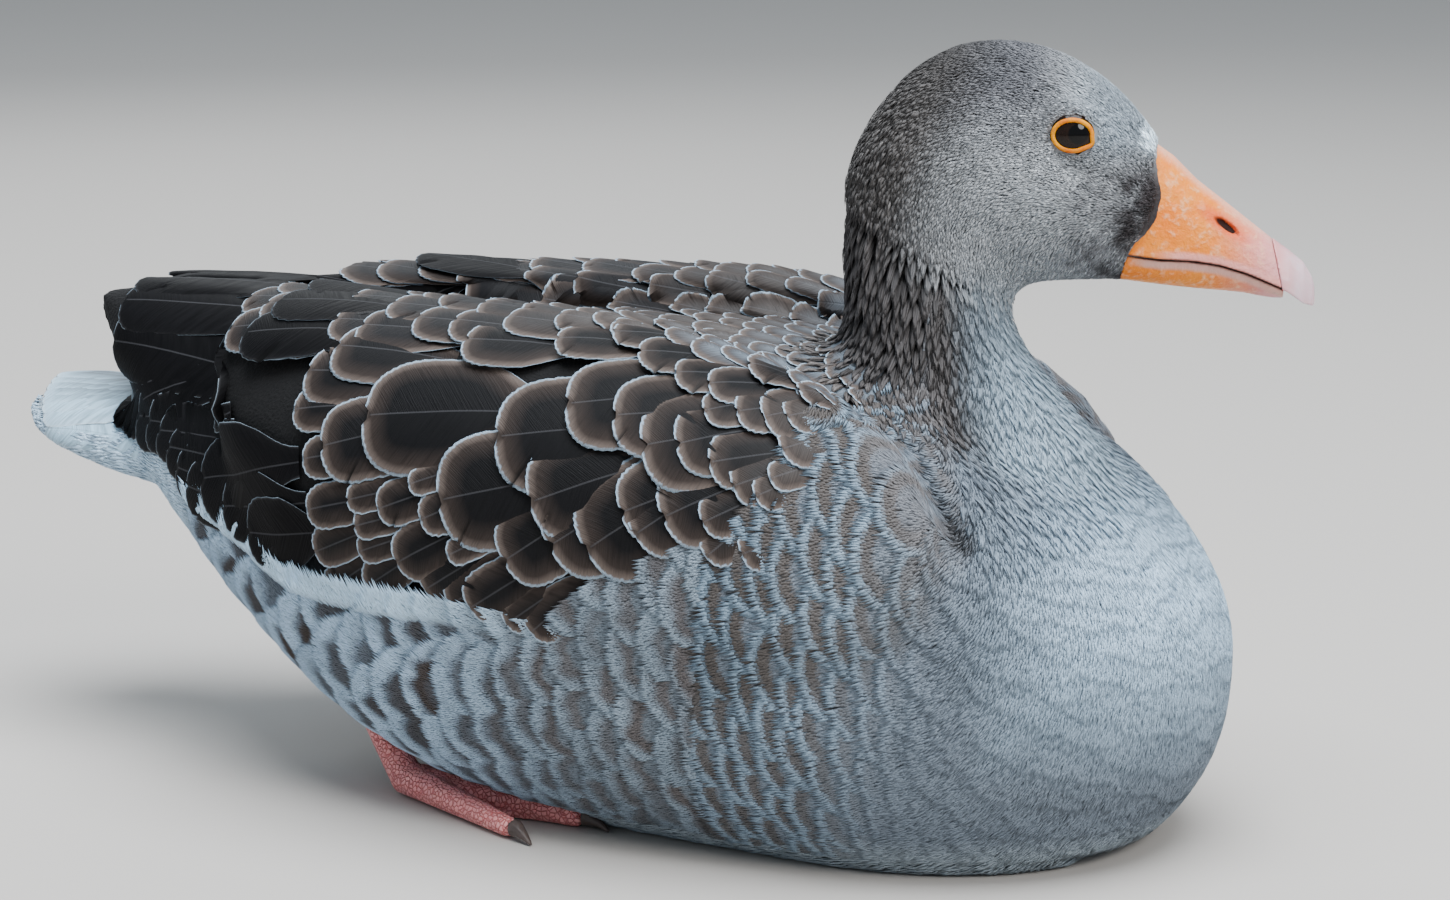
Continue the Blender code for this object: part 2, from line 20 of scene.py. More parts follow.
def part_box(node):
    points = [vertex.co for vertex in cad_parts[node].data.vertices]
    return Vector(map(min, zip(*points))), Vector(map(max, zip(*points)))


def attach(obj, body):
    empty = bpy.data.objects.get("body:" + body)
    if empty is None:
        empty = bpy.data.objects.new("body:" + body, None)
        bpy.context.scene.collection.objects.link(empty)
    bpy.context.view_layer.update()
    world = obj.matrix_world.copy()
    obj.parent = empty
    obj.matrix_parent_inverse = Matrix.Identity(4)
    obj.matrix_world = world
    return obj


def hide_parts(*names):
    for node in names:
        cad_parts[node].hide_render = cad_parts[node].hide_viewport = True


STARTED = time.time()
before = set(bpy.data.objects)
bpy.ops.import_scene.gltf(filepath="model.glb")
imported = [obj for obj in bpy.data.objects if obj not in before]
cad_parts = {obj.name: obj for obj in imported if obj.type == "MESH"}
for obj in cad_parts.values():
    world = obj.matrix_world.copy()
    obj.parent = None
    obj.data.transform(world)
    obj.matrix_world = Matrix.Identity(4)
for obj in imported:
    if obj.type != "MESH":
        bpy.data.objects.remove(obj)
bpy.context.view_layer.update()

# %% [markdown]
# ## The camera
# The bird is seen from its right side, from a little in front and a little above. A long lens from
# a bit over a metre keeps the proportions calm, so it is fixed first and everything is judged by it.

# %% Placing the camera
CAMERA_AZIMUTH = math.radians(26.0)
CAMERA_HEIGHT = math.radians(11.0)
CAMERA_DISTANCE = 1.15
CAMERA_TARGET = Vector((0.0397, 0.0, 0.111))


def in_scene(name, data):
    """A new object that shows this mesh, lens or light in the scene."""
    item = bpy.data.objects.new(name, data)
    bpy.context.scene.collection.objects.link(item)
    return item


lens = bpy.data.cameras.new("lens")
lens.lens = 90.0
lens.sensor_width = 36.0
lens.clip_start = 0.05
lens.clip_end = 20.0
camera = in_scene("camera", lens)
looking = Vector((-math.sin(CAMERA_AZIMUTH) * math.cos(CAMERA_HEIGHT),
                  math.cos(CAMERA_AZIMUTH) * math.cos(CAMERA_HEIGHT),
                  -math.sin(CAMERA_HEIGHT)))
camera.location = CAMERA_TARGET - looking * CAMERA_DISTANCE
camera.rotation_mode = "QUATERNION"
camera.rotation_quaternion = looking.to_track_quat("-Z", "Y")
bpy.context.scene.camera = camera

# %% [markdown]
# ## Small tools for numbers
# A plumage is arithmetic on long lists of points, so numpy does it. These few helpers blend, limit
# and normalise whole lists at once.

# %% Helpers for lists of points
def unit(rows):
    """Each row as a direction of length one."""
    return rows / np.maximum(np.linalg.norm(rows, axis=-1, keepdims=True), 1e-12)


def dot(a, b):
    """The dot product of each pair of rows, as a column."""
    return np.sum(a * b, axis=-1, keepdims=True)


def rise(value, low, high):
    """0 below low, 1 above high, and a smooth step between."""
    t = np.clip((np.asarray(value, float) - low) / (high - low), 0.0, 1.0)
    return t * t * (3.0 - 2.0 * t)


def blend(a, b, share):
    """a where share is 0 and b where it is 1. One share per row mixes whole rows, such as colours."""
    share = np.asarray(share, float)
    if max(np.ndim(a), np.ndim(b)) > np.ndim(share):
        share = share[..., None]
    return a + (b - a) * share


def flattened(vectors, normals):
    """The vectors laid into the surface, as directions."""
    return unit(vectors - normals * dot(vectors, normals))


# %% [markdown]
# ## The guide surface
# Feathers need one smooth, closed surface to lie on, but the flesh is eight solids with hairline
# gaps. Swelling each one by two millimetres closes the gaps, a voxel remesh fuses them, the swelling
# is taken back, and smoothing that keeps the volume takes the facets out. The eyes and the bill are
# fused in too, so that the face runs on under them. The guide is only a ruler. It isn't shown.

# %% Fusing the flesh into one surface
FLESH = ("trunk", "neck", "head", "wing_left", "wing_right", "primaries_left", "primaries_right", "tail")
FUSED = FLESH + ("eye_left", "eye_right", "bill_upper", "bill_lower")
SWELL = 0.0020
GUIDE_VOXEL = 0.0027
PUSH_BACK = -0.53                      # a push a little stronger than the pull keeps the volume


def mesh_from(shape, name):
    """The finished bmesh as a mesh. The bmesh is freed."""
    mesh = bpy.data.meshes.new(name)
    shape.to_mesh(mesh)
    shape.free()
    return mesh


def merged_copy(nodes, label):
    """One new object with the meshes of these solids, each with its doubles merged."""
    total = bmesh.new()
    for node in nodes:
        part = bmesh.new()
        part.from_mesh(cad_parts[node].data)
        bmesh.ops.remove_doubles(part, verts=part.verts, dist=1e-6)
        bmesh.ops.recalc_face_normals(part, faces=part.faces)
        mesh = mesh_from(part, "part")
        total.from_mesh(mesh)
        bpy.data.meshes.remove(mesh)
    return in_scene(label, mesh_from(total, label))


def with_modifiers(item, *settings):
    """Adds the modifiers one after another and applies them."""
    for kind, values in settings:
        modifier = item.modifiers.new(kind.title(), kind)
        for key, value in values.items():
            setattr(modifier, key, value)
    bpy.context.view_layer.update()
    made = bpy.data.meshes.new_from_object(item.evaluated_get(bpy.context.evaluated_depsgraph_get()))
    old = item.data
    item.modifiers.clear()
    item.data = made
    made.name = item.name
    bpy.data.meshes.remove(old)
    return item


def listed(items, name, width, kind=float):
    """One property of every vertex, edge or corner, as the rows of an array."""
    flat = np.empty(len(items) * width, kind)
    items.foreach_get(name, flat)
    return flat.reshape(-1, width)


def points_of(mesh):
    return listed(mesh.vertices, "co", 3)


def normals_of(mesh):
    return listed(mesh.vertices, "normal", 3)


def edges_of(mesh):
    return listed(mesh.edges, "vertices", 2, int)


def averaged(values, edges, times, share=0.5, back=0.0):
    """Values at vertices, each drawn towards the mean of its neighbours, and back again."""
    count = np.bincount(edges.ravel(), minlength=len(values))[:, None]
    values = np.array(values, float).reshape(len(values), -1)
    for _ in range(times):
        for pull in ((share, back) if back else (share,)):
            total = np.zeros_like(values)
            for column in range(values.shape[1]):
                total[:, column] += np.bincount(edges[:, 0], values[edges[:, 1], column], len(values))
                total[:, column] += np.bincount(edges[:, 1], values[edges[:, 0], column], len(values))
            values += (total / np.maximum(count, 1) - values) * pull
    return values


# %% Making the guide
guide = merged_copy(FUSED, "guide")
guide = with_modifiers(
    guide,
    ("DISPLACE", {"strength": SWELL, "mid_level": 0.0}),
    ("REMESH", {"mode": "VOXEL", "voxel_size": GUIDE_VOXEL}),
)
guide_edges = edges_of(guide.data)
guide_points = averaged(points_of(guide.data), guide_edges, 4, back=PUSH_BACK)
guide_points = guide_points - averaged(normals_of(guide.data), guide_edges, 3) * SWELL
guide_points = averaged(guide_points, guide_edges, 10, back=PUSH_BACK)
guide_points = averaged(guide_points, guide_edges, 3)
print("guide:", len(guide_points), "points")

# %% [markdown]
# The eyeballs sit a little deeper than the cheeks. So round each eye the guide sinks smoothly down
# to the ball, which gives the shallow hollow that a real goose has there.

# %% The head's own directions, and the eye sockets
HEAD_PIVOT = np.array((0.1057, 0.0, 0.0))
HEAD_YAW = math.radians(20.0)
AHEAD = np.array((math.cos(HEAD_YAW), math.sin(HEAD_YAW), 0.0))
HEAD_LEFT = np.array((-math.sin(HEAD_YAW), math.cos(HEAD_YAW), 0.0))
UP = np.array((0.0, 0.0, 1.0))


def in_head(ahead, height, left=0.0):
    """A point given in the turned head's own directions."""
    return HEAD_PIVOT + AHEAD * ahead + HEAD_LEFT * left + UP * height


def head_view(points):
    """The points seen in the head's own directions: ahead, left and height."""
    from_pivot = points - HEAD_PIVOT
    return from_pivot @ AHEAD, from_pivot @ HEAD_LEFT, points[:, 2]


EYE_RADIUS = 0.0085
EYE_OUT = 0.0153                       # from the head's middle to the eyeball's centre
EYES = (("left", 1.0, in_head(0.0463, 0.2169, EYE_OUT)),
        ("right", -1.0, in_head(0.0463, 0.2169, -EYE_OUT)))
EYE_OPENING = (0.0054, 0.0042)         # half-width and half-height of the opening
SOCKET_INNER = 0.0060                  # inside this radius the guide lies on the ball
SOCKET_OUTER = 0.0135                  # and outside this one it is left as it was
SOCKET_LIFT = 0.0030                   # the most that the guide may come out to meet the ball


def eye_view(points, centre, sign):
    """Distance out of the head, distance from the line of sight, and the same in eye openings."""
    gap = points - centre
    out = gap @ HEAD_LEFT * sign
    across, up = gap @ AHEAD, gap @ UP
    return out, np.hypot(across, up), np.hypot(across / EYE_OPENING[0], up / EYE_OPENING[1])


for _, sign, centre in EYES:
    out, away, _ = eye_view(guide_points, centre, sign)
    ball = np.sqrt(EYE_RADIUS ** 2 - np.minimum(away, 0.0064) ** 2) + 0.0001
    sunk = blend(ball, out, rise(away, SOCKET_INNER, SOCKET_OUTER))
    move = np.where((out > 0) & (away < SOCKET_OUTER), np.minimum(sunk - out, SOCKET_LIFT), 0.0)
    guide_points = guide_points + HEAD_LEFT * sign * move[:, None]


# %% [markdown]
# The neck is drawn down between the shoulders, and on each side a crease runs between neck and
# shoulder. It is pressed into the guide along a short line of points. The colours along it are
# darkened as painted shade.

# %% The crease between neck and shoulder
GROOVE = np.array(((0.118, 0.040, 0.144), (0.129, 0.054, 0.131), (0.140, 0.062, 0.117),
                   (0.1490, 0.0666, 0.1045)))
GROOVE_WIDTH = 0.0042
GROOVE_DEPTH = 0.0045


def groove_at(points):
    """Depth of the crease between neck and shoulder: 0 away from it, 1 at its deepest."""
    mirrored = points * (1.0, 0.0, 1.0) + np.abs(points) * (0.0, 1.0, 0.0)
    deepest = np.zeros(len(points))
    for k in range(len(GROOVE) - 1):
        a, b = GROOVE[k], GROOVE[k + 1]
        t = np.clip((mirrored - a) @ (b - a) / ((b - a) @ (b - a)), 0, 1)
        gap = np.linalg.norm(mirrored - a - t[:, None] * (b - a), axis=1)
        strength = 0.45 + 0.55 * (k + t) / (len(GROOVE) - 1)
        deepest = np.maximum(deepest, strength * np.exp(-(gap / GROOVE_WIDTH) ** 2))
    return deepest


def past_groove(points):
    """How far a point lies in front of the crease, measured along the bird at its own height."""
    return points[:, 0] - np.interp(points[:, 2], GROOVE[::-1, 2], GROOVE[::-1, 0])


guide_points = guide_points - normals_of(guide.data) * (groove_at(guide_points) * GROOVE_DEPTH)[:, None]
guide.data.vertices.foreach_set("co", guide_points.ravel())
guide.data.update()
guide_normals = unit(averaged(normals_of(guide.data), guide_edges, 2))

# %% [markdown]
# ## What part of the bird a point belongs to
# Each point of the guide takes the name of the nearest solid. Averaging the names over the surface
# turns hard borders into soft weights, so colours and feather sizes run into one another.

# %% Soft weights for head, neck, trunk, wings and tail
PARTS = ("head", "neck", "trunk", "wing", "primaries", "tail")


def weights_by_part():
    corners, faces, owner = [], [], []
    for node in FLESH:
        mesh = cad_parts[node].data
        start = len(corners)
        corners += [tuple(v.co) for v in mesh.vertices]
        faces += [[start + i for i in polygon.vertices] for polygon in mesh.polygons]
        owner += [PARTS.index(node.split("_")[0])] * len(mesh.polygons)
    tree = BVHTree.FromPolygons(corners, faces)
    nearest = [owner[tree.find_nearest(point)[2]] for point in guide_points.tolist()]
    return averaged(np.eye(len(PARTS))[nearest], guide_edges, 10)


guide_weights = weights_by_part()
print("weights:", {name: int((guide_weights[:, i] > 0.5).sum()) for i, name in enumerate(PARTS)})

# %% [markdown]
# ## The lie of the coat
# On a goose every feather points away from the bill: back over the crown, down the neck, round the
# breast and along the body to the tail. A line through the middle of the bird has that direction
# at each of its points, and each point of the surface follows the stretches of it that are nearest.

# %% Directions from bill to tail
NECK_LINE = ((0.1357, 0.070), (0.1307, 0.100), (0.1197, 0.126), (0.1112, 0.147), (0.1077, 0.168),
             (0.1067, 0.192), (0.1097, 0.212))         # distance along the bird and height
REARWARDS = np.array((-1.0, 0.0, 0.0))
MIDDLE_LINE = (
    [in_head(0.085, 0.190), in_head(0.068, 0.196), in_head(0.045, 0.205), in_head(0.022, 0.207),
     in_head(0.002, 0.200)]
    + [np.array((x, 0.0, z)) for x, z in reversed(NECK_LINE[1:6])]
    + [np.array(p) for p in ((0.128, 0.0, 0.080), (0.105, 0.0, 0.066), (0.070, 0.0, 0.068),
                             (0.020, 0.0, 0.075), (-0.040, 0.0, 0.085), (-0.100, 0.0, 0.100),
                             (-0.160, 0.0, 0.112), (-0.225, 0.0, 0.118))]
)


def neck_middle(height):
    """How far along the bird the middle of the neck stands at a height."""
    return np.interp(height, [p[1] for p in NECK_LINE], [p[0] for p in NECK_LINE])


def neck_front(points):
    """How far a point lies in front of the middle of the neck."""
    return points[:, 0] - neck_middle(points[:, 2])


def coat_directions(points, normals):
    """The way that the coat lies at each point, as a direction in the surface."""
    line = np.array(MIDDLE_LINE)
    middles = (line[1:] + line[:-1]) / 2
    along = unit(line[1:] - line[:-1])
    away = np.linalg.norm(points[:, None] - middles[None], axis=-1)
    share = (away.min(1, keepdims=True) / away) ** 6
    lie = share @ along / share.sum(1, keepdims=True)
    x, side, z = points[:, 0], np.abs(points[:, 1]), points[:, 2]
    # on the back, straight to the rear
    behind = rise(z, 0.085, 0.115) * (1 - rise(x, 0.062, 0.105)) * (z < 0.175)
    lie = blend(lie, REARWARDS, behind)
    # on the shoulder, to the rear and a little down
    shoulder = (1 - rise(x, 0.128, 0.172)) * rise(side, 0.030, 0.055) * (1 - rise(z, 0.125, 0.150))
    past = past_groove(points)
    in_front = rise(past, -0.003, 0.005) * rise(z, 0.088, 0.104)
    lie = blend(lie, np.array((-1.0, 0.0, -0.12)), shoulder * 0.9 * (1 - in_front))
    # in front of the crease and round the neck, hanging down
    in_front = np.maximum(in_front, rise(z, 0.130, 0.150) * rise(x, 0.098, 0.108))
    hanging = in_front * (1 - rise(past, 0.042, 0.075)) * (1 - rise(z, 0.178, 0.198))
    backward = -0.06 + 0.45 * rise(past, 0.004, 0.030) + 0.10 * rise(z, 0.120, 0.150)
    down = np.column_stack((-backward, 0 * x, 0 * x - 1.0))
    lie = blend(lie, down, hanging)
    # on the rear flank, up over the edge of the wing
    upward = rise(-x, -0.035, 0.030) * rise(z, 0.030, 0.075) * (1 - rise(z, 0.095, 0.120))
    upward = upward * (1 - rise(-x, 0.10, 0.13)) * rise(side, 0.03, 0.06)
    lie = blend(lie, np.array((-0.80, 0.0, 0.60)), upward)
    return flattened(lie, normals)


guide_lie = coat_directions(guide_points, guide_normals)
guide_lie = flattened(averaged(guide_lie, guide_edges, 12), guide_normals)

# %% A surface that answers questions about the nearest place
class Coat:
    """The guide surface: for any points it gives the nearest place, its normal, lie and weights."""

    def __init__(self, points, normals, lie, weights, mesh):
        mesh.calc_loop_triangles()
        self.triangles = listed(mesh.loop_triangles, "vertices", 3, int)
        self.points = points
        self.values = np.hstack((normals, lie, weights))
        self.tree = BVHTree.FromPolygons(points.tolist(), self.triangles.tolist())

    def shares(self, places, faces):
        """How much each corner of its triangle counts at a place."""
        a, b, c = (self.points[self.triangles[faces, i]] for i in range(3))
        whole = np.cross(b - a, c - a)
        size = np.maximum(dot(whole, whole), 1e-20)
        u = dot(np.cross(c - b, places - b), whole) / size
        v = dot(np.cross(a - c, places - c), whole) / size
        return np.hstack((u, v, 1.0 - u - v))

    def describe(self, places, faces):
        """Everything known at places on these triangles, as a dictionary of arrays."""
        shares = self.shares(places, faces)
        corners = self.values[self.triangles[faces]]
        mixed = np.einsum("ij,ijk->ik", shares, corners)
        normals = unit(mixed[:, :3])
        return {"at": places, "normal": normals, "lie": flattened(mixed[:, 3:6], normals),
                "weight": mixed[:, 6:]}

    def nearest(self, points):
        """The nearest place to each point."""
        hits = [self.tree.find_nearest(point) for point in points.tolist()]
        return self.describe(np.array([tuple(h[0]) for h in hits]), np.array([h[2] for h in hits]))

    def scattered(self, number, seed, keep_if):
        """Random places, evenly spread over that part of the area which is to be kept."""
        random = np.random.default_rng(seed)
        a, b, c = (self.points[self.triangles[:, i]] for i in range(3))
        area = np.linalg.norm(np.cross(b - a, c - a), axis=1)
        area = area * keep_if(self.describe((a + b + c) / 3, np.arange(len(area))))
        faces = random.choice(len(area), number, p=area / area.sum())
        u, v = random.random((2, number, 1))
        fold = u + v > 1
        u, v = np.where(fold, 1 - u, u), np.where(fold, 1 - v, v)
        return self.describe(a[faces] * (1 - u - v) + b[faces] * u + c[faces] * v, faces)

    def cast(self, starts, directions):
        """The first place that each ray meets, and whether it meets one."""
        hits = [self.tree.ray_cast(s, d) for s, d in zip(starts.tolist(), directions.tolist())]
        met = np.array([h[0] is not None for h in hits])
        places = np.array([tuple(h[0]) if h[0] is not None else (0, 0, 0) for h in hits])
        faces = np.array([h[2] if h[0] is not None else 0 for h in hits])
        return self.describe(places, faces), met


coat = Coat(guide_points, guide_normals, guide_lie, guide_weights, guide.data)

# %% Choosing and thinning places
def picked(places, keep):
    """Some of the places: a mask or a list of numbers says which."""
    return {key: value[keep] for key, value in places.items()}


def tree_of(points):
    tree = KDTree(len(points))
    for i, point in enumerate(points.tolist()):
        tree.insert(point, i)
    tree.balance()
    return tree


def spaced(places, spacing, seed):
    """Places thinned so that no two are nearer than their own spacing."""
    order = np.random.default_rng(seed).permutation(len(places["at"]))
    points = places["at"].tolist()
    tree = tree_of(places["at"])
    alive = np.ones(len(points), bool)
    kept = []
    for i in order.tolist():
        if alive[i]:
            kept.append(i)
            for _, other, _ in tree.find_range(points[i], spacing[i]):
                alive[other] = False
    return picked(places, np.array(kept))


print("guide ready after", round(time.time() - STARTED, 1), "s")

# %% [markdown]
# ## Markings
# The grey goose is drawn in a few colours: brown-grey head with darker lores and nape, a pale
# blue-grey breast, almost black wing feathers with buff and white margins, brown blotches on the
# flanks and pure white round the tail. One function gives the colours of a place. The skin and
# every soft feather over it ask this function, and the firm vanes are mixed from the same colours,
# so nothing changes where the coat is thin.

# %% Colours of the plumage at a place
BODY_MIDDLE = 0.07                     # height of the line that angles round the body are measured from


def in_degrees(points):
    """Height round the body, as an angle: 0 is level with the body's middle, 90 is the back."""
    return np.degrees(np.arctan2(points[:, 2] - BODY_MIDDLE, np.abs(points[:, 1])))


WAVES = 26
WHITE_SPOT = (0.0712, 0.2148)          # ahead and height of the small white spot at the bill's root


def mottled(points, scale, seed):
    """A smooth random value round 0 at each place, with patches of about this size."""
    random = np.random.default_rng(seed)
    waves = random.normal(0, 1, (WAVES, 3)) * 2.2 / scale
    return np.cos(points @ waves.T + random.uniform(0, 6.28, WAVES)).sum(1) / math.sqrt(WAVES / 2)


# %% The colours themselves
CROWN = np.array((0.136, 0.138, 0.152))
FOREHEAD = np.array((0.300, 0.350, 0.395))
CHEEK = np.array((0.415, 0.434, 0.455))
LORE = np.array((0.044, 0.038, 0.040))
NAPE = np.array((0.096, 0.090, 0.088))
CHIN = np.array((0.440, 0.460, 0.480))
# Painted shade: the skin under the bill is near black, where it shows through the nostrils.
UNDER_BILL = np.array((0.024, 0.006, 0.004))       # the skin that is seen through the nostrils
NECK_BROWN = np.array((0.082, 0.076, 0.076))
NECK_PALE = np.array((0.350, 0.455, 0.550))
BREAST = np.array((0.500, 0.690, 0.880))
BREAST_GREY = np.array((0.170, 0.206, 0.250))
BELLY = np.array((0.330, 0.390, 0.440))
FLANK_BROWN = np.array((0.045, 0.034, 0.030))
FLANK_GREY = np.array((0.150, 0.160, 0.175))
SHOULDER = np.array((0.110, 0.098, 0.092))
WING_DARK = np.array((0.0050, 0.0048, 0.0055))
WHITE = np.array((0.640, 0.760, 0.850))


def plumage(places):
    """The main colour of the coat at each place."""
    points, weight = places["at"], places["weight"]
    ahead, _, height = head_view(points)
    x, side, z = points[:, 0], np.abs(points[:, 1]), points[:, 2]
    angle = in_degrees(points)
    blank = 0 * points
    # head: dark crown and nape, pale cheek and chin, dark lore, white spot
    head = CHEEK + blank
    head = blend(head, CROWN, rise(height, 0.205, 0.232) * (1 - rise(ahead, 0.030, 0.056)))
    head = blend(head, FOREHEAD, rise(ahead, 0.040, 0.058) * rise(height, 0.204, 0.216))
    head = blend(head, NAPE, 1 - rise(ahead - 0.35 * (height - 0.19), -0.012, 0.014))
    head = blend(head, CHIN, 1 - rise(height, 0.172, 0.184))
    reach = ahead + 0.0035 * mottled(points, 0.0060, 6) + 0.0020 * mottled(points, 0.0022, 7)
    head = blend(head, LORE, rise(reach, 0.038, 0.071) * (1 - rise(height, 0.200, 0.216)))
    spot = 1 - rise(np.hypot(ahead - WHITE_SPOT[0], (height - WHITE_SPOT[1]) * 0.9), 0.0030, 0.0058)
    head = blend(head, WHITE, spot)
    # painted shade: the skin under the bill turns near black
    head = blend(head, UNDER_BILL, rise(ahead, 0.078, 0.083))
    # neck: brown behind and in the hackles beside the crease, pale in front
    front = neck_front(points)
    neck = blend(NECK_BROWN + blank, NECK_PALE, rise(front, 0.013, 0.030))
    neck = blend(neck, NECK_BROWN, (1 - rise(front, -0.020, 0.0)) * rise(z, 0.10, 0.12))
    hackle = (1 - rise(0.90 * x - 0.44 * side, 0.096, 0.104)) * rise(past_groove(points), -0.003, 0.002)
    hackle = hackle * rise(z, 0.097, 0.112) * (1 - rise(z, 0.150, 0.170))
    neck = blend(neck, NECK_BROWN, hackle)
    # trunk: pale breast, greyer to the side, darker low in front as painted shade, dark back, white rear
    trunk = BREAST + blank
    # painted shade: the breast turns grey low in front
    low_front_shade = 1 - rise(z + 0.30 * (x - 0.15), 0.034, 0.100)
    aside = 1 - rise(x + 0.10 * (z - 0.06), 0.149, 0.199)
    trunk = blend(trunk, BREAST_GREY, np.maximum(aside, low_front_shade))
    trunk = blend(trunk, FLANK_GREY, 1 - rise(x, 0.045, 0.125))
    trunk = blend(trunk, BELLY, 1 - rise(z, 0.004, 0.018))
    trunk = blend(trunk, NECK_BROWN * 1.2, hackle)
    back = rise(z, 0.125, 0.140) * (1 - rise(x, 0.115, 0.135))
    trunk = blend(trunk, SHOULDER * 1.5, back)
    trunk = blend(trunk, WING_DARK * 4, back * (1 - rise(x, -0.09, -0.02)))
    trunk = blend(trunk, WHITE, rise(-x, 0.112, 0.130))
    # painted shade: the trunk darkens along the crease between neck and shoulder
    trunk = blend(trunk, SHOULDER * 0.35, groove_at(points) ** 1.5 * 0.95)
    # wing, its tips and the tail
    wing = blend(WING_DARK + blank, SHOULDER, rise(x, 0.085, 0.115))
    wing = blend(wing, FLANK_GREY, rise(x, 0.10, 0.125) * (1 - rise(angle, 20, 32)))
    colours = (head, neck, trunk, wing, WING_DARK + blank, WHITE + blank)
    share = np.clip(weight, 0, 1)
    share = share / share.sum(1, keepdims=True)
    return sum(share[:, i:i + 1] * colour for i, colour in enumerate(colours))


# %% [markdown]
# ## Shader arithmetic
# A finish is easier to read as a formula than as a nest of nodes. A small class wraps one output,
# and each operator on it adds the matching Math node. One method adds every other kind of node.

# %% The wrapper and the finish maker
class Value:
    """One output of a node, with arithmetic."""

    def __init__(self, finish, socket):
        self.finish = finish
        self.socket = socket

    def _maths(self, operation, first, second):
        return self.finish.node("ShaderNodeMath", {"operation": operation}, {0: first, 1: second})

    def __add__(self, other):
        return self._maths("ADD", self, other)

    def __radd__(self, other):
        return self._maths("ADD", other, self)

    def __sub__(self, other):
        return self._maths("SUBTRACT", self, other)

    def __rsub__(self, other):
        return self._maths("SUBTRACT", other, self)

    def __mul__(self, other):
        return self._maths("MULTIPLY", self, other)

    def __rmul__(self, other):
        return self._maths("MULTIPLY", other, self)

    def __truediv__(self, other):
        return self._maths("DIVIDE", self, other)


# %% The finish maker
class Finish:
    """A material whose nodes are written as expressions."""

    def __init__(self, name, **constants):
        self.material = bpy.data.materials.new(name)
        self.material.use_nodes = True
        self.tree = self.material.node_tree
        self.tree.nodes.clear()
        output = self.tree.nodes.new("ShaderNodeOutputMaterial")
        self.surface = self.tree.nodes.new("ShaderNodeBsdfPrincipled")
        self.tree.links.new(self.surface.outputs[0], output.inputs[0])
        for key, value in constants.items():
            self.surface.inputs[key.replace("_", " ")].default_value = value

    def node(self, kind, settings=None, inputs=None, out=0):
        """A node of this type: its settings first, then the values or links of its sockets."""
        made = self.tree.nodes.new(kind)
        for key, value in (settings or {}).items():
            if key == "stops":
                ramp = made.color_ramp
                while len(ramp.elements) < len(value):
                    ramp.elements.new(1.0)
                for element, (place, colour) in zip(ramp.elements, value):
                    element.position = place
                    element.color = colour
            else:
                setattr(made, key, value)
        for key, value in (inputs or {}).items():
            self.put(made.inputs[key], value)
        return Value(self, made.outputs[out])

    def put(self, socket, value):
        if isinstance(value, Value):
            self.tree.links.new(value.socket, socket)
        else:
            socket.default_value = value

    def feed(self, **sockets):
        """Links or sets sockets of the surface shader. Gives the finished material."""
        for key, value in sockets.items():
            self.put(self.surface.inputs[key.replace("_", " ")], value)
        return self.material

    def attribute(self, name, out="Fac"):
        return self.node("ShaderNodeAttribute", {"attribute_name": name}, out=out)

    def place(self):
        return self.node("ShaderNodeTexCoord", out="Object")

    def noise(self, scale, detail):
        return self.node("ShaderNodeTexNoise", {},
                         {"Vector": self.place(), "Scale": scale, "Detail": detail})

    def threads(self, across, along, detail):
        """Long fine streaks: a flat noise whose place is made from two values of the mesh."""
        spot = self.node("ShaderNodeCombineXYZ", {}, {0: across, 1: along})
        return self.node("ShaderNodeTexNoise", {"noise_dimensions": "2D"},
                         {"Vector": spot, "Scale": 1.0, "Detail": detail})

    def mix(self, first, second, share):
        """The first colour where share is 0, the second where it is 1."""
        return self.node("ShaderNodeMix", {"data_type": "RGBA"}, {0: share, 6: first, 7: second}, 2)

    def ramp(self, value, *stops):
        """A value put through stops of place and brightness."""
        grey = [(place, (bright, bright, bright, 1)) for place, bright in stops]
        return self.node("ShaderNodeValToRGB", {"stops": grey}, {"Fac": value})

    def bump(self, height, distance, strength=1.0):
        return self.node("ShaderNodeBump", {},
                         {"Height": height, "Distance": distance, "Strength": strength})


# %% [markdown]
# ## Putting arrays into a mesh
# Every feather piece is one mesh, filled from arrays. Each point keeps a colour called coat, and
# each corner a place on the map called OFBake, where a whole feather takes a small patch at the
# place of its root on an unwrap of the bird.

# %% From arrays to a piece
PATCH = 0.003                          # side of a feather's own patch, where the whole map is 1


def smooth(mesh):
    """Smooth shading all over."""
    mesh.polygons.foreach_set("use_smooth", np.ones(len(mesh.polygons), bool))


def store(mesh, name, values):
    """Keeps one number for every point of the mesh, for its finish to read."""
    mesh.attributes.new(name, "FLOAT", "POINT").data.foreach_set("value", np.asarray(values, float))


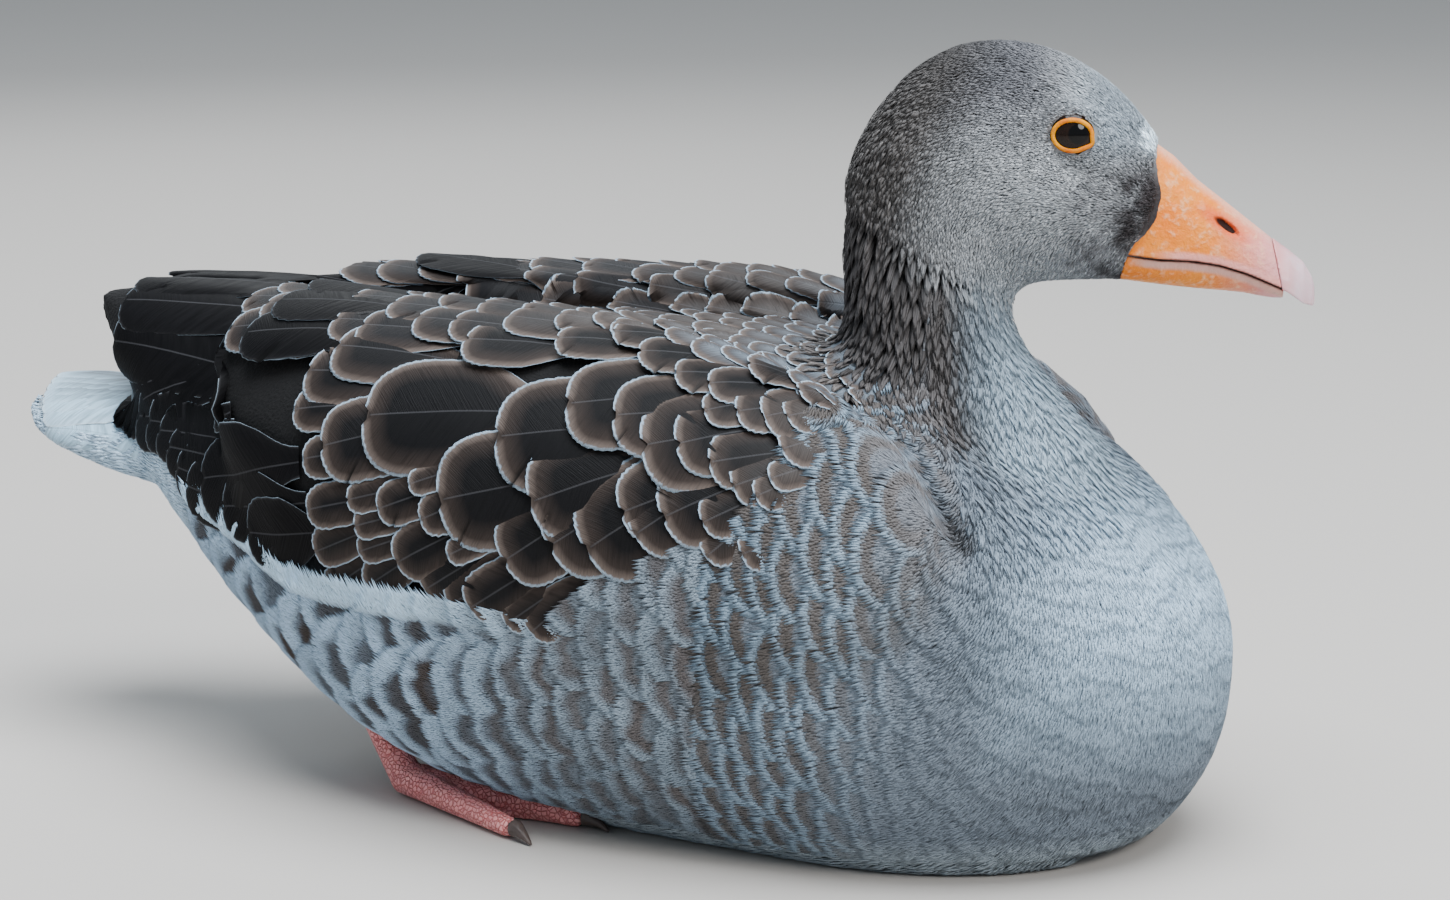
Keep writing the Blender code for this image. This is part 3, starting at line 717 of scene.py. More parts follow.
def piece_from(name, points, faces, colours, patches, finish, extras=None):
    """A piece on the body. faces is a list of faces, or a few arrays of faces with as many corners."""
    mesh = bpy.data.meshes.new(name)
    groups = faces if isinstance(faces, tuple) else [np.array([face]) for face in faces]
    loops = np.concatenate([group.ravel() for group in groups])
    totals = np.concatenate([np.full(len(group), group.shape[1]) for group in groups])
    starts = np.concatenate(([0], np.cumsum(totals)[:-1]))
    mesh.vertices.add(len(points))
    mesh.vertices.foreach_set("co", np.asarray(points, float).ravel())
    mesh.loops.add(len(loops))
    mesh.loops.foreach_set("vertex_index", loops.astype(np.int32))
    mesh.polygons.add(len(starts))
    mesh.polygons.foreach_set("loop_start", starts.astype(np.int32))
    mesh.polygons.foreach_set("loop_total", totals.astype(np.int32))
    mesh.update(calc_edges=True)
    mesh.validate()
    smooth(mesh)
    layer = mesh.color_attributes.new("coat", "FLOAT_COLOR", "POINT")
    rgba = np.ones((len(points), 4))
    rgba[:, :3] = colours
    layer.data.foreach_set("color", rgba.ravel())
    for key, values in (extras or {}).items():
        store(mesh, key, values)
    uv = mesh.uv_layers.new(name="OFBake")
    corners = listed(mesh.loops, "vertex_index", 1, int)[:, 0]
    uv.data.foreach_set("uv", np.clip(patches[corners], 0.0, 1.0).ravel())
    mesh.materials.append(finish)
    item = in_scene(name, mesh)
    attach(item, "root")
    print(name, "triangles:", int((totals - 2).sum()))
    return item


# %% [markdown]
# ## Unwraps of the bird
# The map keeps neighbours together all round the bird, so it never depends on the camera. The head
# and the neck unroll by their height and the angle round the neck, the body by its length and the
# angle round its middle.

# %% Places on the unwrap
SKULL_MIDDLE = 0.026                   # how far ahead of its pivot the middle of the head is


def in_turns(across, up):
    """The angle to a point, in turns from 0 to 1."""
    return np.arctan2(across, up) / (2 * math.pi) + 0.5


def in_range(values, spare=0.002):
    """The values put between 0 and 1, with a little to spare at both ends."""
    low, high = values.min() - spare, values.max() + spare
    return (values - low) / (high - low)


def unwrap_upright(points):
    ahead, left, height = head_view(points)
    middle = blend(neck_middle(height) - HEAD_PIVOT[0], SKULL_MIDDLE, rise(height, 0.170, 0.195))
    return np.column_stack((in_turns(left, ahead - middle), in_range(height)))


def unwrap_lengthwise(points):
    return np.column_stack((in_range(points[:, 0]), in_turns(points[:, 1], points[:, 2] - BODY_MIDDLE)))


# %% [markdown]
# ## The skin
# Under the feathers lies one skin. It follows the guide, but deeper: a hair's breadth on the face,
# a few millimetres on the body. Where a plate is thin, as at the wing tips, it stays inside the
# plate. It stands in for all the flesh solids, so no seam between them shows.

# %% Sinking the skin below the feathers
DEPTHS = np.array((0.0011, 0.0024, 0.0035, 0.0036, 0.0018, 0.0020))    # in the order of PARTS
# Painted shade: the skin takes the plumage colour, darkened part by part where it lies under the
# feathers.
SHADED = np.array((0.88, 0.70, 0.92, 0.80, 1.0, 0.95))[:, None]        # brightness at the roots
PLATE_SHARE = 0.32                     # the skin sinks by this share of a thin plate at most
LID_DEPTH = 0.0003                     # just round the eye
EYE_DEPTH = 0.0035                     # and behind the eyeball


def room_below(points, normals):
    """How thick the flesh is below each point."""
    inside = points - normals * 0.0004
    hits = [coat.tree.ray_cast(p, n) for p, n in zip(inside.tolist(), (-normals).tolist())]
    return np.array([h[3] if h[3] is not None else 0.02 for h in hits])


guide_depth = guide_weights @ DEPTHS
guide_depth = np.minimum(guide_depth, PLATE_SHARE * room_below(guide_points, guide_normals))
guide_depth = averaged(guide_depth, guide_edges, 4)[:, 0]
for _, sign, centre in EYES:
    out, _, openings = eye_view(guide_points, centre, sign)
    shallow = blend(LID_DEPTH, guide_depth, rise(openings, 1.6, 2.4))
    sunk = blend(EYE_DEPTH, shallow, rise(openings, 0.95, 1.15))
    guide_depth = np.where(out > 0, sunk, guide_depth)

# %% The finish of the skin
SKIN_FINISH = Finish("skin_under_plumage", Roughness=0.85, Specular_IOR_Level=0.2)
coat_colour = SKIN_FINISH.attribute("coat", "Color")
skin_fine = SKIN_FINISH.noise(900.0, 3.0)
SKIN_FINISH.feed(
    Base_Color=SKIN_FINISH.mix(coat_colour, (0.02, 0.019, 0.018, 1), skin_fine * 0.3),
    Normal=SKIN_FINISH.bump(skin_fine, 0.0006),
)

# %% The skin
skin_points = guide_points - guide_normals * guide_depth[:, None]
skin_faces = [list(p.vertices) for p in guide.data.polygons]
skin_places = {"at": guide_points, "weight": guide_weights}
# painted shade: the plumage colour darkened by SHADED where the skin lies under the feathers
skin_tones = plumage(skin_places) * (guide_weights @ SHADED)
skin = piece_from("skin", skin_points, skin_faces, skin_tones,
                  unwrap_lengthwise(guide_points), SKIN_FINISH.material)
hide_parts(*FLESH)
skin.data.uv_layers.remove(skin.data.uv_layers["OFBake"])

# %% [markdown]
# ## Barbs, tufts and locks
# Small feathers read as fine strokes. Each stroke is a closed, slender, three-sided solid: left
# edge, right edge and a ridge, pointed at both ends. Thousands are built at once from their centre
# lines, so the same few lines of code make face tufts, neck locks and the barbs of the breast. No
# operator makes such a field of strokes, so their points and faces are worked out as arrays.

# %% Many slender solids at once
def slender(lines, normals, widths, heights):
    """Closed three-sided solids. lines is N x K x 3, with the first and last points as tips."""
    number, steps = lines.shape[:2]
    inner = steps - 2
    along = np.empty_like(lines)
    along[:, 1:-1] = lines[:, 2:] - lines[:, :-2]
    along[:, 0] = lines[:, 1] - lines[:, 0]
    along[:, -1] = lines[:, -1] - lines[:, -2]
    sides = unit(np.cross(normals, unit(along)))
    ring = np.arange(1, steps - 1)
    left = lines[:, ring] - sides[:, ring] * widths[:, ring, None] / 2
    right = lines[:, ring] + sides[:, ring] * widths[:, ring, None] / 2
    top = lines[:, ring] + normals[:, ring] * heights[:, ring, None]
    rings = np.stack((left, top, right), axis=2).reshape(number, inner * 3, 3)
    points = np.concatenate((lines[:, :1], rings, lines[:, -1:]), axis=1)
    stride = inner * 3 + 2
    faces = []
    for a in range(3):
        b = (a + 1) % 3
        faces.append((0, 1 + b, 1 + a, 1 + a))
        last = 1 + (inner - 1) * 3
        faces.append((stride - 1, last + a, last + b, last + b))
        for k in range(inner - 1):
            here, there = 1 + k * 3, 1 + (k + 1) * 3
            faces.append((here + a, here + b, there + b, there + a))
    step_of = np.concatenate(([0], np.repeat(ring, 3), [steps - 1]))
    return points.reshape(-1, 3), faces, stride, step_of


def slender_faces(pattern, stride, number):
    """The pattern of faces repeated for every solid, triangles kept as triangles."""
    quads = np.array([f for f in pattern if f[2] != f[3]], int).reshape(-1, 4)
    tris = np.array([f[:3] for f in pattern if f[2] == f[3]], int)
    shift = (np.arange(number) * stride)[:, None, None]
    return (quads[None] + shift).reshape(-1, 4), (tris[None] + shift).reshape(-1, 3)


# %% A piece of strokes
LOWEST = 0.0006                        # nothing of the coat reaches down to the floor


def strokes(name, lines, normals, widths, heights, colours, patches, finish):
    """A piece of many strokes. colours is N x K x 3, patches is the N x 2 place of each root."""
    lines[..., 2] = np.maximum(lines[..., 2], LOWEST)
    points, pattern, stride, step_of = slender(lines, normals, widths, heights)
    number, steps = lines.shape[:2]
    faces = slender_faces(pattern, stride, number)
    shades = colours[:, step_of].reshape(-1, 3)
    run = step_of / (steps - 1)
    side = np.concatenate(([0.5], np.tile((0.0, 0.5, 1.0), steps - 2), [0.5]))
    spot = np.stack((np.tile(side, (number, 1)), np.tile(run, (number, 1))), axis=-1) - 0.5
    uv = (patches[:, None] + spot * PATCH).reshape(-1, 2)
    start = np.random.default_rng(number).uniform(0, 60, number)
    weft = (start[:, None] + side[None]).ravel()
    piece_from(name, points, faces, shades, uv, finish,
               {"run": np.tile(run, number), "weft": weft})


# %% The finish of soft barbs
def barb_finish(name, threads, contrast, relief):
    """Soft barbs: colour from the feather itself, and fine threads that run along each stroke."""
    made = Finish(name, Specular_IOR_Level=0.15)
    colour = made.attribute("coat", "Color")
    weft, run = made.attribute("weft"), made.attribute("run")
    thread = made.threads(weft * threads, run * 1.6, 2.0)
    lines = made.ramp(thread, (0.34, 0.0), (0.62, 1.0))
    dim = made.mix(colour, (0.0, 0.0, 0.0, 1), contrast)
    made.feed(Base_Color=made.mix(dim, colour, lines), Roughness=0.62 + thread * 0.2,
              Normal=made.bump(lines, relief, 0.7))
    return made.material


FINE_BARBS = barb_finish("fine_barbs", 3.2, 0.35, 0.00010)
SOFT_BARBS = barb_finish("soft_barbs", 2.4, 0.22, 0.00006)

# %% Fine strokes that cling to the guide
def hairs(name, places, ways, lengths, widths, colours, lift, seed, finish, unwrap,
          dip=0.0009, loose=0.0003, fade=(0.93, 1.0, 1.04)):
    """Fine strokes of three points: a root under the others, the widest place, and a free tip."""
    random = np.random.default_rng(seed)
    number = len(lengths)
    root = coat.nearest(places["at"] - ways * (lengths * 0.6)[:, None])
    tip = coat.nearest(places["at"] + ways * (lengths * 0.4)[:, None])
    end = lift + random.uniform(0.0001, loose, number)
    lines = np.stack((root["at"] - root["normal"] * dip,
                      places["at"] + places["normal"] * (lift + 0.0001)[:, None],
                      tip["at"] + tip["normal"] * end[:, None]), axis=1)
    normals = np.stack((root["normal"], places["normal"], tip["normal"]), axis=1)
    shape = np.array((0.0, 1.0, 0.0))
    shades = colours[:, None] * np.array(fade)[None, :, None]
    strokes(name, lines, normals, widths[:, None] * shape, widths[:, None] * 0.11 * shape,
            shades, unwrap(root["at"]), finish)


# %% [markdown]
# ## The face and crown
# A goose's face wears the smallest feathers of all, about a millimetre wide, laid like tiles and
# each a shade lighter or darker than the next, which gives the salt-and-pepper look. They are
# thinned to even spacing first, smaller near the bill and the eye, and each one follows the curve
# of the head for its own length.

# %% Head tufts
BILL_EDGE = ((0.0710, 0.2350), (0.0719, 0.2131), (0.0709, 0.2060), (0.0716, 0.1985), (0.0706, 0.1930),
             (0.0670, 0.1860), (0.0632, 0.1800), (0.0616, 0.1715))     # ahead and height
FACE_SPACING = 0.00064


def bill_edge_at(height):
    """How far ahead the feathers end and the bill begins, at a height."""
    return np.interp(-height, [-p[1] for p in BILL_EDGE], [p[0] for p in BILL_EDGE])


def is_face(places):
    """The head, up to the edge of the bill and the ring of the lid."""
    ahead, _, height = head_view(places["at"])
    keep = (places["weight"][:, 0] > 0.30) & (ahead < bill_edge_at(height) - 0.0002)
    for _, sign, centre in EYES:
        out, _, openings = eye_view(places["at"], centre, sign)
        keep &= (out < 0) | (openings > 1.42)
    return keep


# %% Laying the head tufts
def make_head_tufts():
    random = np.random.default_rng(11)
    places = coat.scattered(150000, 1, is_face)
    places = picked(places, is_face(places))
    ahead, _, height = head_view(places["at"])
    near = [bill_edge_at(height) - ahead]
    for _, sign, centre in EYES:
        out, away, _ = eye_view(places["at"], centre, sign)
        near.append(np.where(out > 0, away - 0.0070, 0.1))
    near = np.minimum.reduce(near)
    size = 0.48 + 0.52 * rise(near, 0.0, 0.026)
    at_spot = 1 - rise(np.hypot(ahead - WHITE_SPOT[0], height - WHITE_SPOT[1]), 0.004, 0.007)
    size = np.maximum(size, 0.9 * at_spot)
    keep = spaced({**places, "size": size[:, None], "near": near[:, None]}, FACE_SPACING * size, 2)
    size, near = keep.pop("size")[:, 0], keep.pop("near")[:, 0]
    number = len(size)
    nape = 1 - rise(head_view(keep["at"])[0], -0.020, 0.012)
    lengths = (0.0046 + 0.0035 * nape) * size * random.uniform(0.75, 1.25, number)
    lengths = np.minimum(lengths, 0.0013 + np.maximum(near, 0) * 1.8)
    widths = (0.00092 + 0.0004 * nape) * size * random.uniform(0.75, 1.25, number)
    side = np.cross(keep["normal"], keep["lie"])
    ways = flattened(keep["lie"] + side * random.normal(0, 0.16, number)[:, None], keep["normal"])
    dark_face = 1 - rise(near, 0.004, 0.020)
    tone = random.lognormal(0, 0.11 + 0.16 * nape + 0.24 * dark_face)
    tone = tone * (1 + 0.055 * mottled(keep["at"], 0.0040, 4) + 0.05 * mottled(keep["at"], 0.0110, 5))
    ruffle = 0.0001 + nape * random.uniform(0.0, 0.0016, number)
    hairs("coat_head", keep, ways, lengths, widths, plumage(keep) * tone[:, None], ruffle, 3, SOFT_BARBS,
          unwrap_upright, dip=0.0009, loose=0.0005, fade=(0.80, 0.98, 1.14))
    print("face tufts:", number)


make_head_tufts()
print("head after", round(time.time() - STARTED, 1), "s")

# %% [markdown]
# ## The furrowed neck
# Geese have a neck that looks combed: narrow pointed locks overlap down it, pale at their tips and
# dark between them. That dark is partly the locks' own bases and partly painted shade: their roots
# are darkened to stand in for the shade in the furrows. Each lock is seven strands that start side
# by side and meet at one point. The contrast is strong behind and softer in the pale front, where
# the locks also stand less high.

# %% Neck locks
STRANDS = 7
STEPS = (0.0, 0.35, 0.72, 1.0)         # shares of a strand's length at which its points lie
# Root to tip brightness: partly the locks' own darker bases, partly painted shade in the furrows.
FADE_BEHIND = np.array((0.40, 0.62, 1.10, 1.70))       # brightness at those points, root to tip
FADE_PALE = np.array((0.64, 0.84, 1.06, 1.16))


def neck_foot(at):
    """The height down to which locks hang: low beside the crease, higher in front and behind."""
    past = past_groove(at)
    behind = np.interp(neck_front(at), (-0.03, 0.0, 0.03), (0.110, 0.121, 0.127))
    beside = np.interp(past, (0.0, 0.012, 0.035, 0.060), (0.098, 0.101, 0.112, 0.127))
    return np.where(past > 0, beside, behind)


def is_neck(places):
    """The neck up to the head's lower edge, and the skirt of locks in front of the crease."""
    weight, at = places["weight"], places["at"]
    past = past_groove(at)
    crease_out = np.interp(at[:, 2], GROOVE[::-1, 2], GROOVE[::-1, 1])
    inside = (past > 0.003) | (np.abs(at[:, 1]) < crease_out - 0.004) | (at[:, 2] > 0.144)
    own = (weight[:, 1] + weight[:, 0] * 0.9 > 0.30) & inside
    skirt = (past > 0.003) & (past < 0.060) & (at[:, 2] < 0.150) & (np.abs(at[:, 1]) > 0.012)
    return (own | skirt) & (weight[:, 0] < 0.80) & (weight[:, 3] < 0.4) & (at[:, 2] > neck_foot(at))


# %% Laying the neck locks
def make_neck_locks():
    random = np.random.default_rng(22)
    places = coat.scattered(26000, 21, is_neck)
    places = picked(places, is_neck(places))
    upper = places["weight"][:, 0]
    places = spaced(places, 0.0026 - 0.0011 * upper, 23)
    upper = rise(places["weight"][:, 0], 0.10, 0.70)
    number = len(places["at"])
    many = number * STRANDS
    front = rise(neck_front(places["at"]), -0.006, 0.026)
    small = (1 - 0.50 * places["weight"][:, 0]) * (1 - 0.15 * front)
    lengths = random.uniform(0.0105, 0.0140, number) * small
    width = random.uniform(0.0029, 0.0037, number) * small
    # painted shade: the locks darken along the crease between neck and shoulder
    main = plumage(places) * (1 - 0.80 * groove_at(places["at"]))[:, None]
    pale = rise(main.mean(1), 0.16, 0.36)
    tone = random.lognormal(0, 0.16 - 0.10 * pale)
    every = {key: np.repeat(value, STRANDS, axis=0) for key, value in places.items()}
    offset = np.tile(np.linspace(-1.0, 1.0, STRANDS), number) + random.normal(0, 0.08, many)
    wide = np.repeat(width, STRANDS)
    long = np.repeat(lengths, STRANDS) * (1 - 0.20 * offset ** 2) * random.uniform(0.88, 1.08, many)
    side = np.cross(every["normal"], every["lie"])
    start = every["at"] + side * (offset * wide * 0.42)[:, None]
    lean = np.repeat(random.normal(0, 0.07, number), STRANDS) - offset * 0.24 * wide / long
    lower = np.repeat(1 - 0.25 * pale, STRANDS)
    crest = 0.0006 * (1 - offset ** 2) * lower
    stand = np.repeat(random.uniform(0.0, 0.0007, number), STRANDS) * lower
    lifts = np.column_stack((np.full(many, -0.0020), -0.0005 + crest * 0.6, 0.0003 + crest + stand * 0.6,
                             0.0003 + crest * 0.4 + stand + random.uniform(0, 0.0003, many)))
    way = flattened(every["lie"] + side * lean[:, None], every["normal"])
    spots = [coat.nearest(start + way * (long * step)[:, None]) for step in STEPS]
    lines = np.stack([spot["at"] + spot["normal"] * lifts[:, k:k + 1]
                      for k, spot in enumerate(spots)], axis=1)
    normals = np.stack([spot["normal"] for spot in spots], axis=1)
    shape = np.array((0.0, 1.0, 0.85, 0.0))
    # dark roots and pale tips, partly painted shade in the furrows between locks
    fade = blend(FADE_BEHIND[None], FADE_PALE[None], np.repeat(np.maximum(pale, 0.8 * upper), STRANDS))
    inner = random.lognormal(0, 0.07, many) * np.repeat(tone, STRANDS)
    colours = np.repeat(main, STRANDS, axis=0)[:, None] * (fade * inner[:, None])[..., None]
    thick = wide * 0.35
    strokes("coat_neck", lines, normals, thick[:, None] * shape, thick[:, None] * 0.22 * shape,
            np.minimum(colours, 0.8), unwrap_upright(every["at"]), FINE_BARBS)
    print("locks:", number)


make_neck_locks()
print("neck after", round(time.time() - STARTED, 1), "s")

# %% [markdown]
# ## Soft contour feathers
# Breast, belly and flanks wear round feathers whose barbs part at the tips, so their outlines are
# made of hairs. First the feathers are laid out as overlapping rounds. Then tens of thousands of
# fine strokes are laid along the body, and each one asks which round lies on top where it is: that
# gives it its colour, its height and the way it fans out.

# %% Which soft feather lies on top
def feather_over(places, sites, long, wide):
    """For each place the topmost round over it: its number, how far along and aside, and how far in."""
    tree = tree_of(sites["at"])
    near = np.array([[hit[1] for hit in tree.find_n(p, 8)] for p in places["at"].tolist()])
    side = np.cross(places["normal"], places["lie"])
    gap = places["at"][:, None] - sites["at"][near]
    grown = sites.get("size", np.ones((len(sites["at"]), 1)))[near, 0]
    along = (gap * places["lie"][:, None]).sum(-1) / (long * grown)
    aside = (gap * side[:, None]).sum(-1) / (wide * grown)
    reach = np.hypot(along, aside)
    best = np.where(reach < 1, along - 0.6 * aside ** 2, -2.0 - reach).argmax(1)
    row = np.arange(len(best))
    near, along, aside = near[row, best], along[row, best], aside[row, best]
    return near, along, aside, np.clip(1 - np.hypot(np.maximum(along, 0), aside), 0, 1)


# %% Strokes over one region
def soft_coat(name, keep_if, candidates, spacing, sites, long, wide, look, seed,
              length=0.0078, width=0.00095, splay=0.30, untidy=0.08):
    """Fine strokes over one region. look gives each its colour and height from the feather it is on."""
    random = np.random.default_rng(seed)
    places = coat.scattered(candidates, seed, keep_if)
    places = picked(places, keep_if(places))
    places = spaced(places, np.full(len(places["at"]), spacing), seed + 1)
    number = len(places["at"])
    owner, along, aside, rim = feather_over(places, sites, long, wide)
    own = random.normal(0, 1, (len(sites["at"]), 2))[owner]
    colours, height, longer = look(places, along, aside, rim, own)
    # painted shade: the strokes darken along the crease between neck and shoulder
    colours = colours * (1 - 0.80 * groove_at(places["at"]))[:, None]
    side = np.cross(places["normal"], places["lie"])
    turn = aside * splay + own[:, 0] * 0.05 + random.normal(0, untidy * (1 + 5 * (longer - 1)), number)
    turn = turn + np.sign(places["at"][:, 1]) * (longer - 1) * 1.1
    ways = flattened(places["lie"] + side * turn[:, None], places["normal"])
    tone = random.lognormal(0, 0.06, number) * (1 + 0.035 * mottled(places["at"], 0.012, seed + 3))
    hairs(name, places, ways, length * longer * random.uniform(0.75, 1.2, number),
          width * random.uniform(0.75, 1.2, number), colours * tone[:, None], height, seed + 2,
          SOFT_BARBS, unwrap_lengthwise)
    print(name, "feathers:", len(np.unique(owner)), "strokes:", number)


# %% Where soft feathers are needed
CAST_FROM = 0.25                       # rays towards the body start this far out
LOWER_EDGE = ((-0.156, 70.0), (-0.150, 45.0), (-0.140, 34.0), (-0.132, 26.5), (-0.126, 21.0),
              (-0.119, 16.0), (-0.108, 13.0), (-0.092, 8.5), (-0.070, 1.0), (-0.050, 0.0), (0.000, 0.0),
              (0.030, -2.0), (0.050, 6.0), (0.075, 12.0), (0.090, 16.0), (0.099, 24.0), (0.106, 58.0),
              (0.118, 65.0), (0.122, 200.0))       # distance along the bird and angle round the body
ROW_TOP = ((-0.075, 48.0), (-0.040, 50.0), (0.035, 54.0), (0.090, 50.0), (0.120, 38.0), (0.125, 30.0))


def lower_edge(x):
    """The angle round the body down to which the firm feathers of wing and rear reach."""
    return np.interp(x, [p[0] for p in LOWER_EDGE], [p[1] for p in LOWER_EDGE])


def row_top(x):
    """The angle round the body up to which the rows of big wing feathers reach."""
    return np.interp(x, [p[0] for p in ROW_TOP], [p[1] for p in ROW_TOP])


def is_soft(places):
    """Trunk and lower front of the wings, outside the firm rows. It runs in under the lowest locks."""
    at, weight = places["at"], places["weight"]
    low_neck = (weight[:, 1] < 0.55) | ((at[:, 2] < 0.168) & (neck_front(at) > -0.012))
    below = in_degrees(at) < lower_edge(at[:, 0]) + 6.0
    return (weight[:, 0] < 0.3) & low_neck & below & (weight[:, 4] < 0.5)


def is_front(at):
    """In front of the slanting line between breast and flank."""
    return at[:, 0] > 0.078 + 0.15 * (at[:, 2] - 0.06)


# %% Laying out the rounds
def laid_out(side_sign, first, last, step, arc, low=-100.0, high=75.0, seed=5):
    """Rounds in staggered columns along one side, larger towards the rear."""
    random = np.random.default_rng(seed)
    x, angle, size = [], [], []
    along, k = last, 0
    while along > first:
        grown = 1 + 0.30 * float(rise(-along, -0.05, 0.03))
        column = np.arange(low + (k % 2) * arc * grown / 2, high, arc * grown)
        x += [along] * len(column)
        angle += column.tolist()
        size += [grown] * len(column)
        along -= step * grown
        k += 1
    x = np.array(x) + random.normal(0, step * 0.12, len(x))
    angle = np.array(angle) + random.normal(0, arc * 0.12, len(x))
    places, met = at_angle(x, angle, side_sign)
    return picked({**places, "size": np.array(size)[:, None]}, met)


def at_angle(x, degrees, side):
    """The outermost place of the guide at a distance along the bird and an angle round it."""
    turn = np.radians(degrees)
    out = np.column_stack((0 * x, side * np.cos(turn), np.sin(turn)))
    start = np.column_stack((x, 0 * x, 0 * x + BODY_MIDDLE)) + out * CAST_FROM
    return coat.cast(start, -out)


def filled(rounds, keep_if, gap, seed):
    """Adds rounds wherever the columns leave a place further than gap from the next one."""
    spare = spaced(coat.scattered(4000, seed, keep_if), np.full(4000, gap), seed)
    tree = tree_of(rounds["at"])
    lonely = np.array([tree.find(p)[2] > gap for p in spare["at"].tolist()])
    extra = picked({**spare, "size": np.full((len(spare["at"]), 1), 0.85)}, lonely)
    return {key: np.concatenate((value, extra[key])) for key, value in rounds.items() if key in extra}


# %% Looks of breast, flanks, belly and rear
BAR_GREY = np.array((0.185, 0.180, 0.188))
FLANK_FRONT = np.array((0.106, 0.096, 0.096))
FLANK_TIP = np.array((0.240, 0.300, 0.360))


def front_look(places, along, aside, rim, own):
    """Smooth and pale in front, with brown bars towards the shoulder and the crease."""
    at, main = places["at"], plumage(places)
    barred = 1 - rise(at[:, 0] - 0.30 * (at[:, 2] - 0.07), 0.112, 0.150)
    past = past_groove(at)
    barred = barred * (1 - rise(past, -0.002, 0.003) * rise(at[:, 2], 0.088, 0.100))
    brown = barred * rise(rim, 0.12, 0.24) * (1 - 0.75 * rise(rim, 0.45, 0.68)) * 0.85
    colours = main * (1.03 - 0.06 * rise(rim, 0.0, 0.35) + 0.02 * own[:, 1])[:, None]
    colours = blend(colours, SHOULDER * 0.85, brown)
    colours = blend(colours, BREAST_GREY * 1.1, barred * rise(rim, 0.42, 0.62) * 0.8)
    colours = blend(colours, BREAST * 0.46, barred * (1 - rise(rim, 0.05, 0.22)) * 0.85)
    beside = rise(past, -0.012, -0.004) * (1 - rise(past, 0.0, 0.004)) * rise(at[:, 2], 0.092, 0.104)
    colours = blend(colours, BAR_GREY, beside * 0.5)
    return colours, 0.0001 + (0.0001 + 0.0005 * barred) * rise(along, 0.2, 1.0), np.ones(len(at))


def flank_look(places, along, aside, rim, own):
    """Brown feathers with broad pale ends, whiter and more boldly marked towards the rear."""
    at, main = places["at"], plumage(places)
    behind = rise(-at[:, 0], -0.045, 0.035)
    above = in_degrees(at) - lower_edge(at[:, 0])
    line = rise(above, 0.5, 2.5) * behind
    brown = blend(FLANK_FRONT[None], FLANK_BROWN[None] * 1.1, behind)
    pale = blend(FLANK_TIP[None], WHITE[None] * (0.66, 0.75, 0.86), behind)
    edge = 0.17 + 0.06 * own[:, 0] + 0.10 * behind + 0.05 * mottled(at, 0.006, 9)
    deep = (0.86 + 0.10 * own[:, 1]).clip(0.4, 1.0)
    bar = rise((rim - edge) / 0.26, -0.5, 0.8) * (1 - 0.70 * rise(rim - edge, 0.30, 0.48) * (1 - behind))
    colours = blend(pale * (1 - 0.25 * rise(rim, 0.3, 0.6))[:, None], brown, bar * deep)
    under = 1 - rise(in_degrees(at), -66, -38)
    colours = blend(colours, main * 1.05, under * 0.75)
    colours = blend(colours, WHITE * (0.84, 0.96, 1.06), line)
    height = 0.0001 + 0.0007 * rise(along, 0.25, 1.0) + line * 0.0014
    return colours * (1 + 0.05 * own[:, 1:2]), height, 1.0 + 0.5 * line


def plain_look(places, along, aside, rim, own):
    """One colour, a trace darker inside each feather."""
    main = plumage(places)
    shade = (1.03 - 0.06 * rise(rim, 0.02, 0.30))[:, None]
    return main * shade, 0.0001 + 0.0003 * rise(along, 0.3, 1.0), np.ones(len(main))


def rear_look(places, along, aside, rim, own):
    """As plain, but in the blue shade of the tail."""
    colours, height, longer = plain_look(places, along, aside, rim, own)
    return colours * (0.78, 0.87, 0.96), height, longer


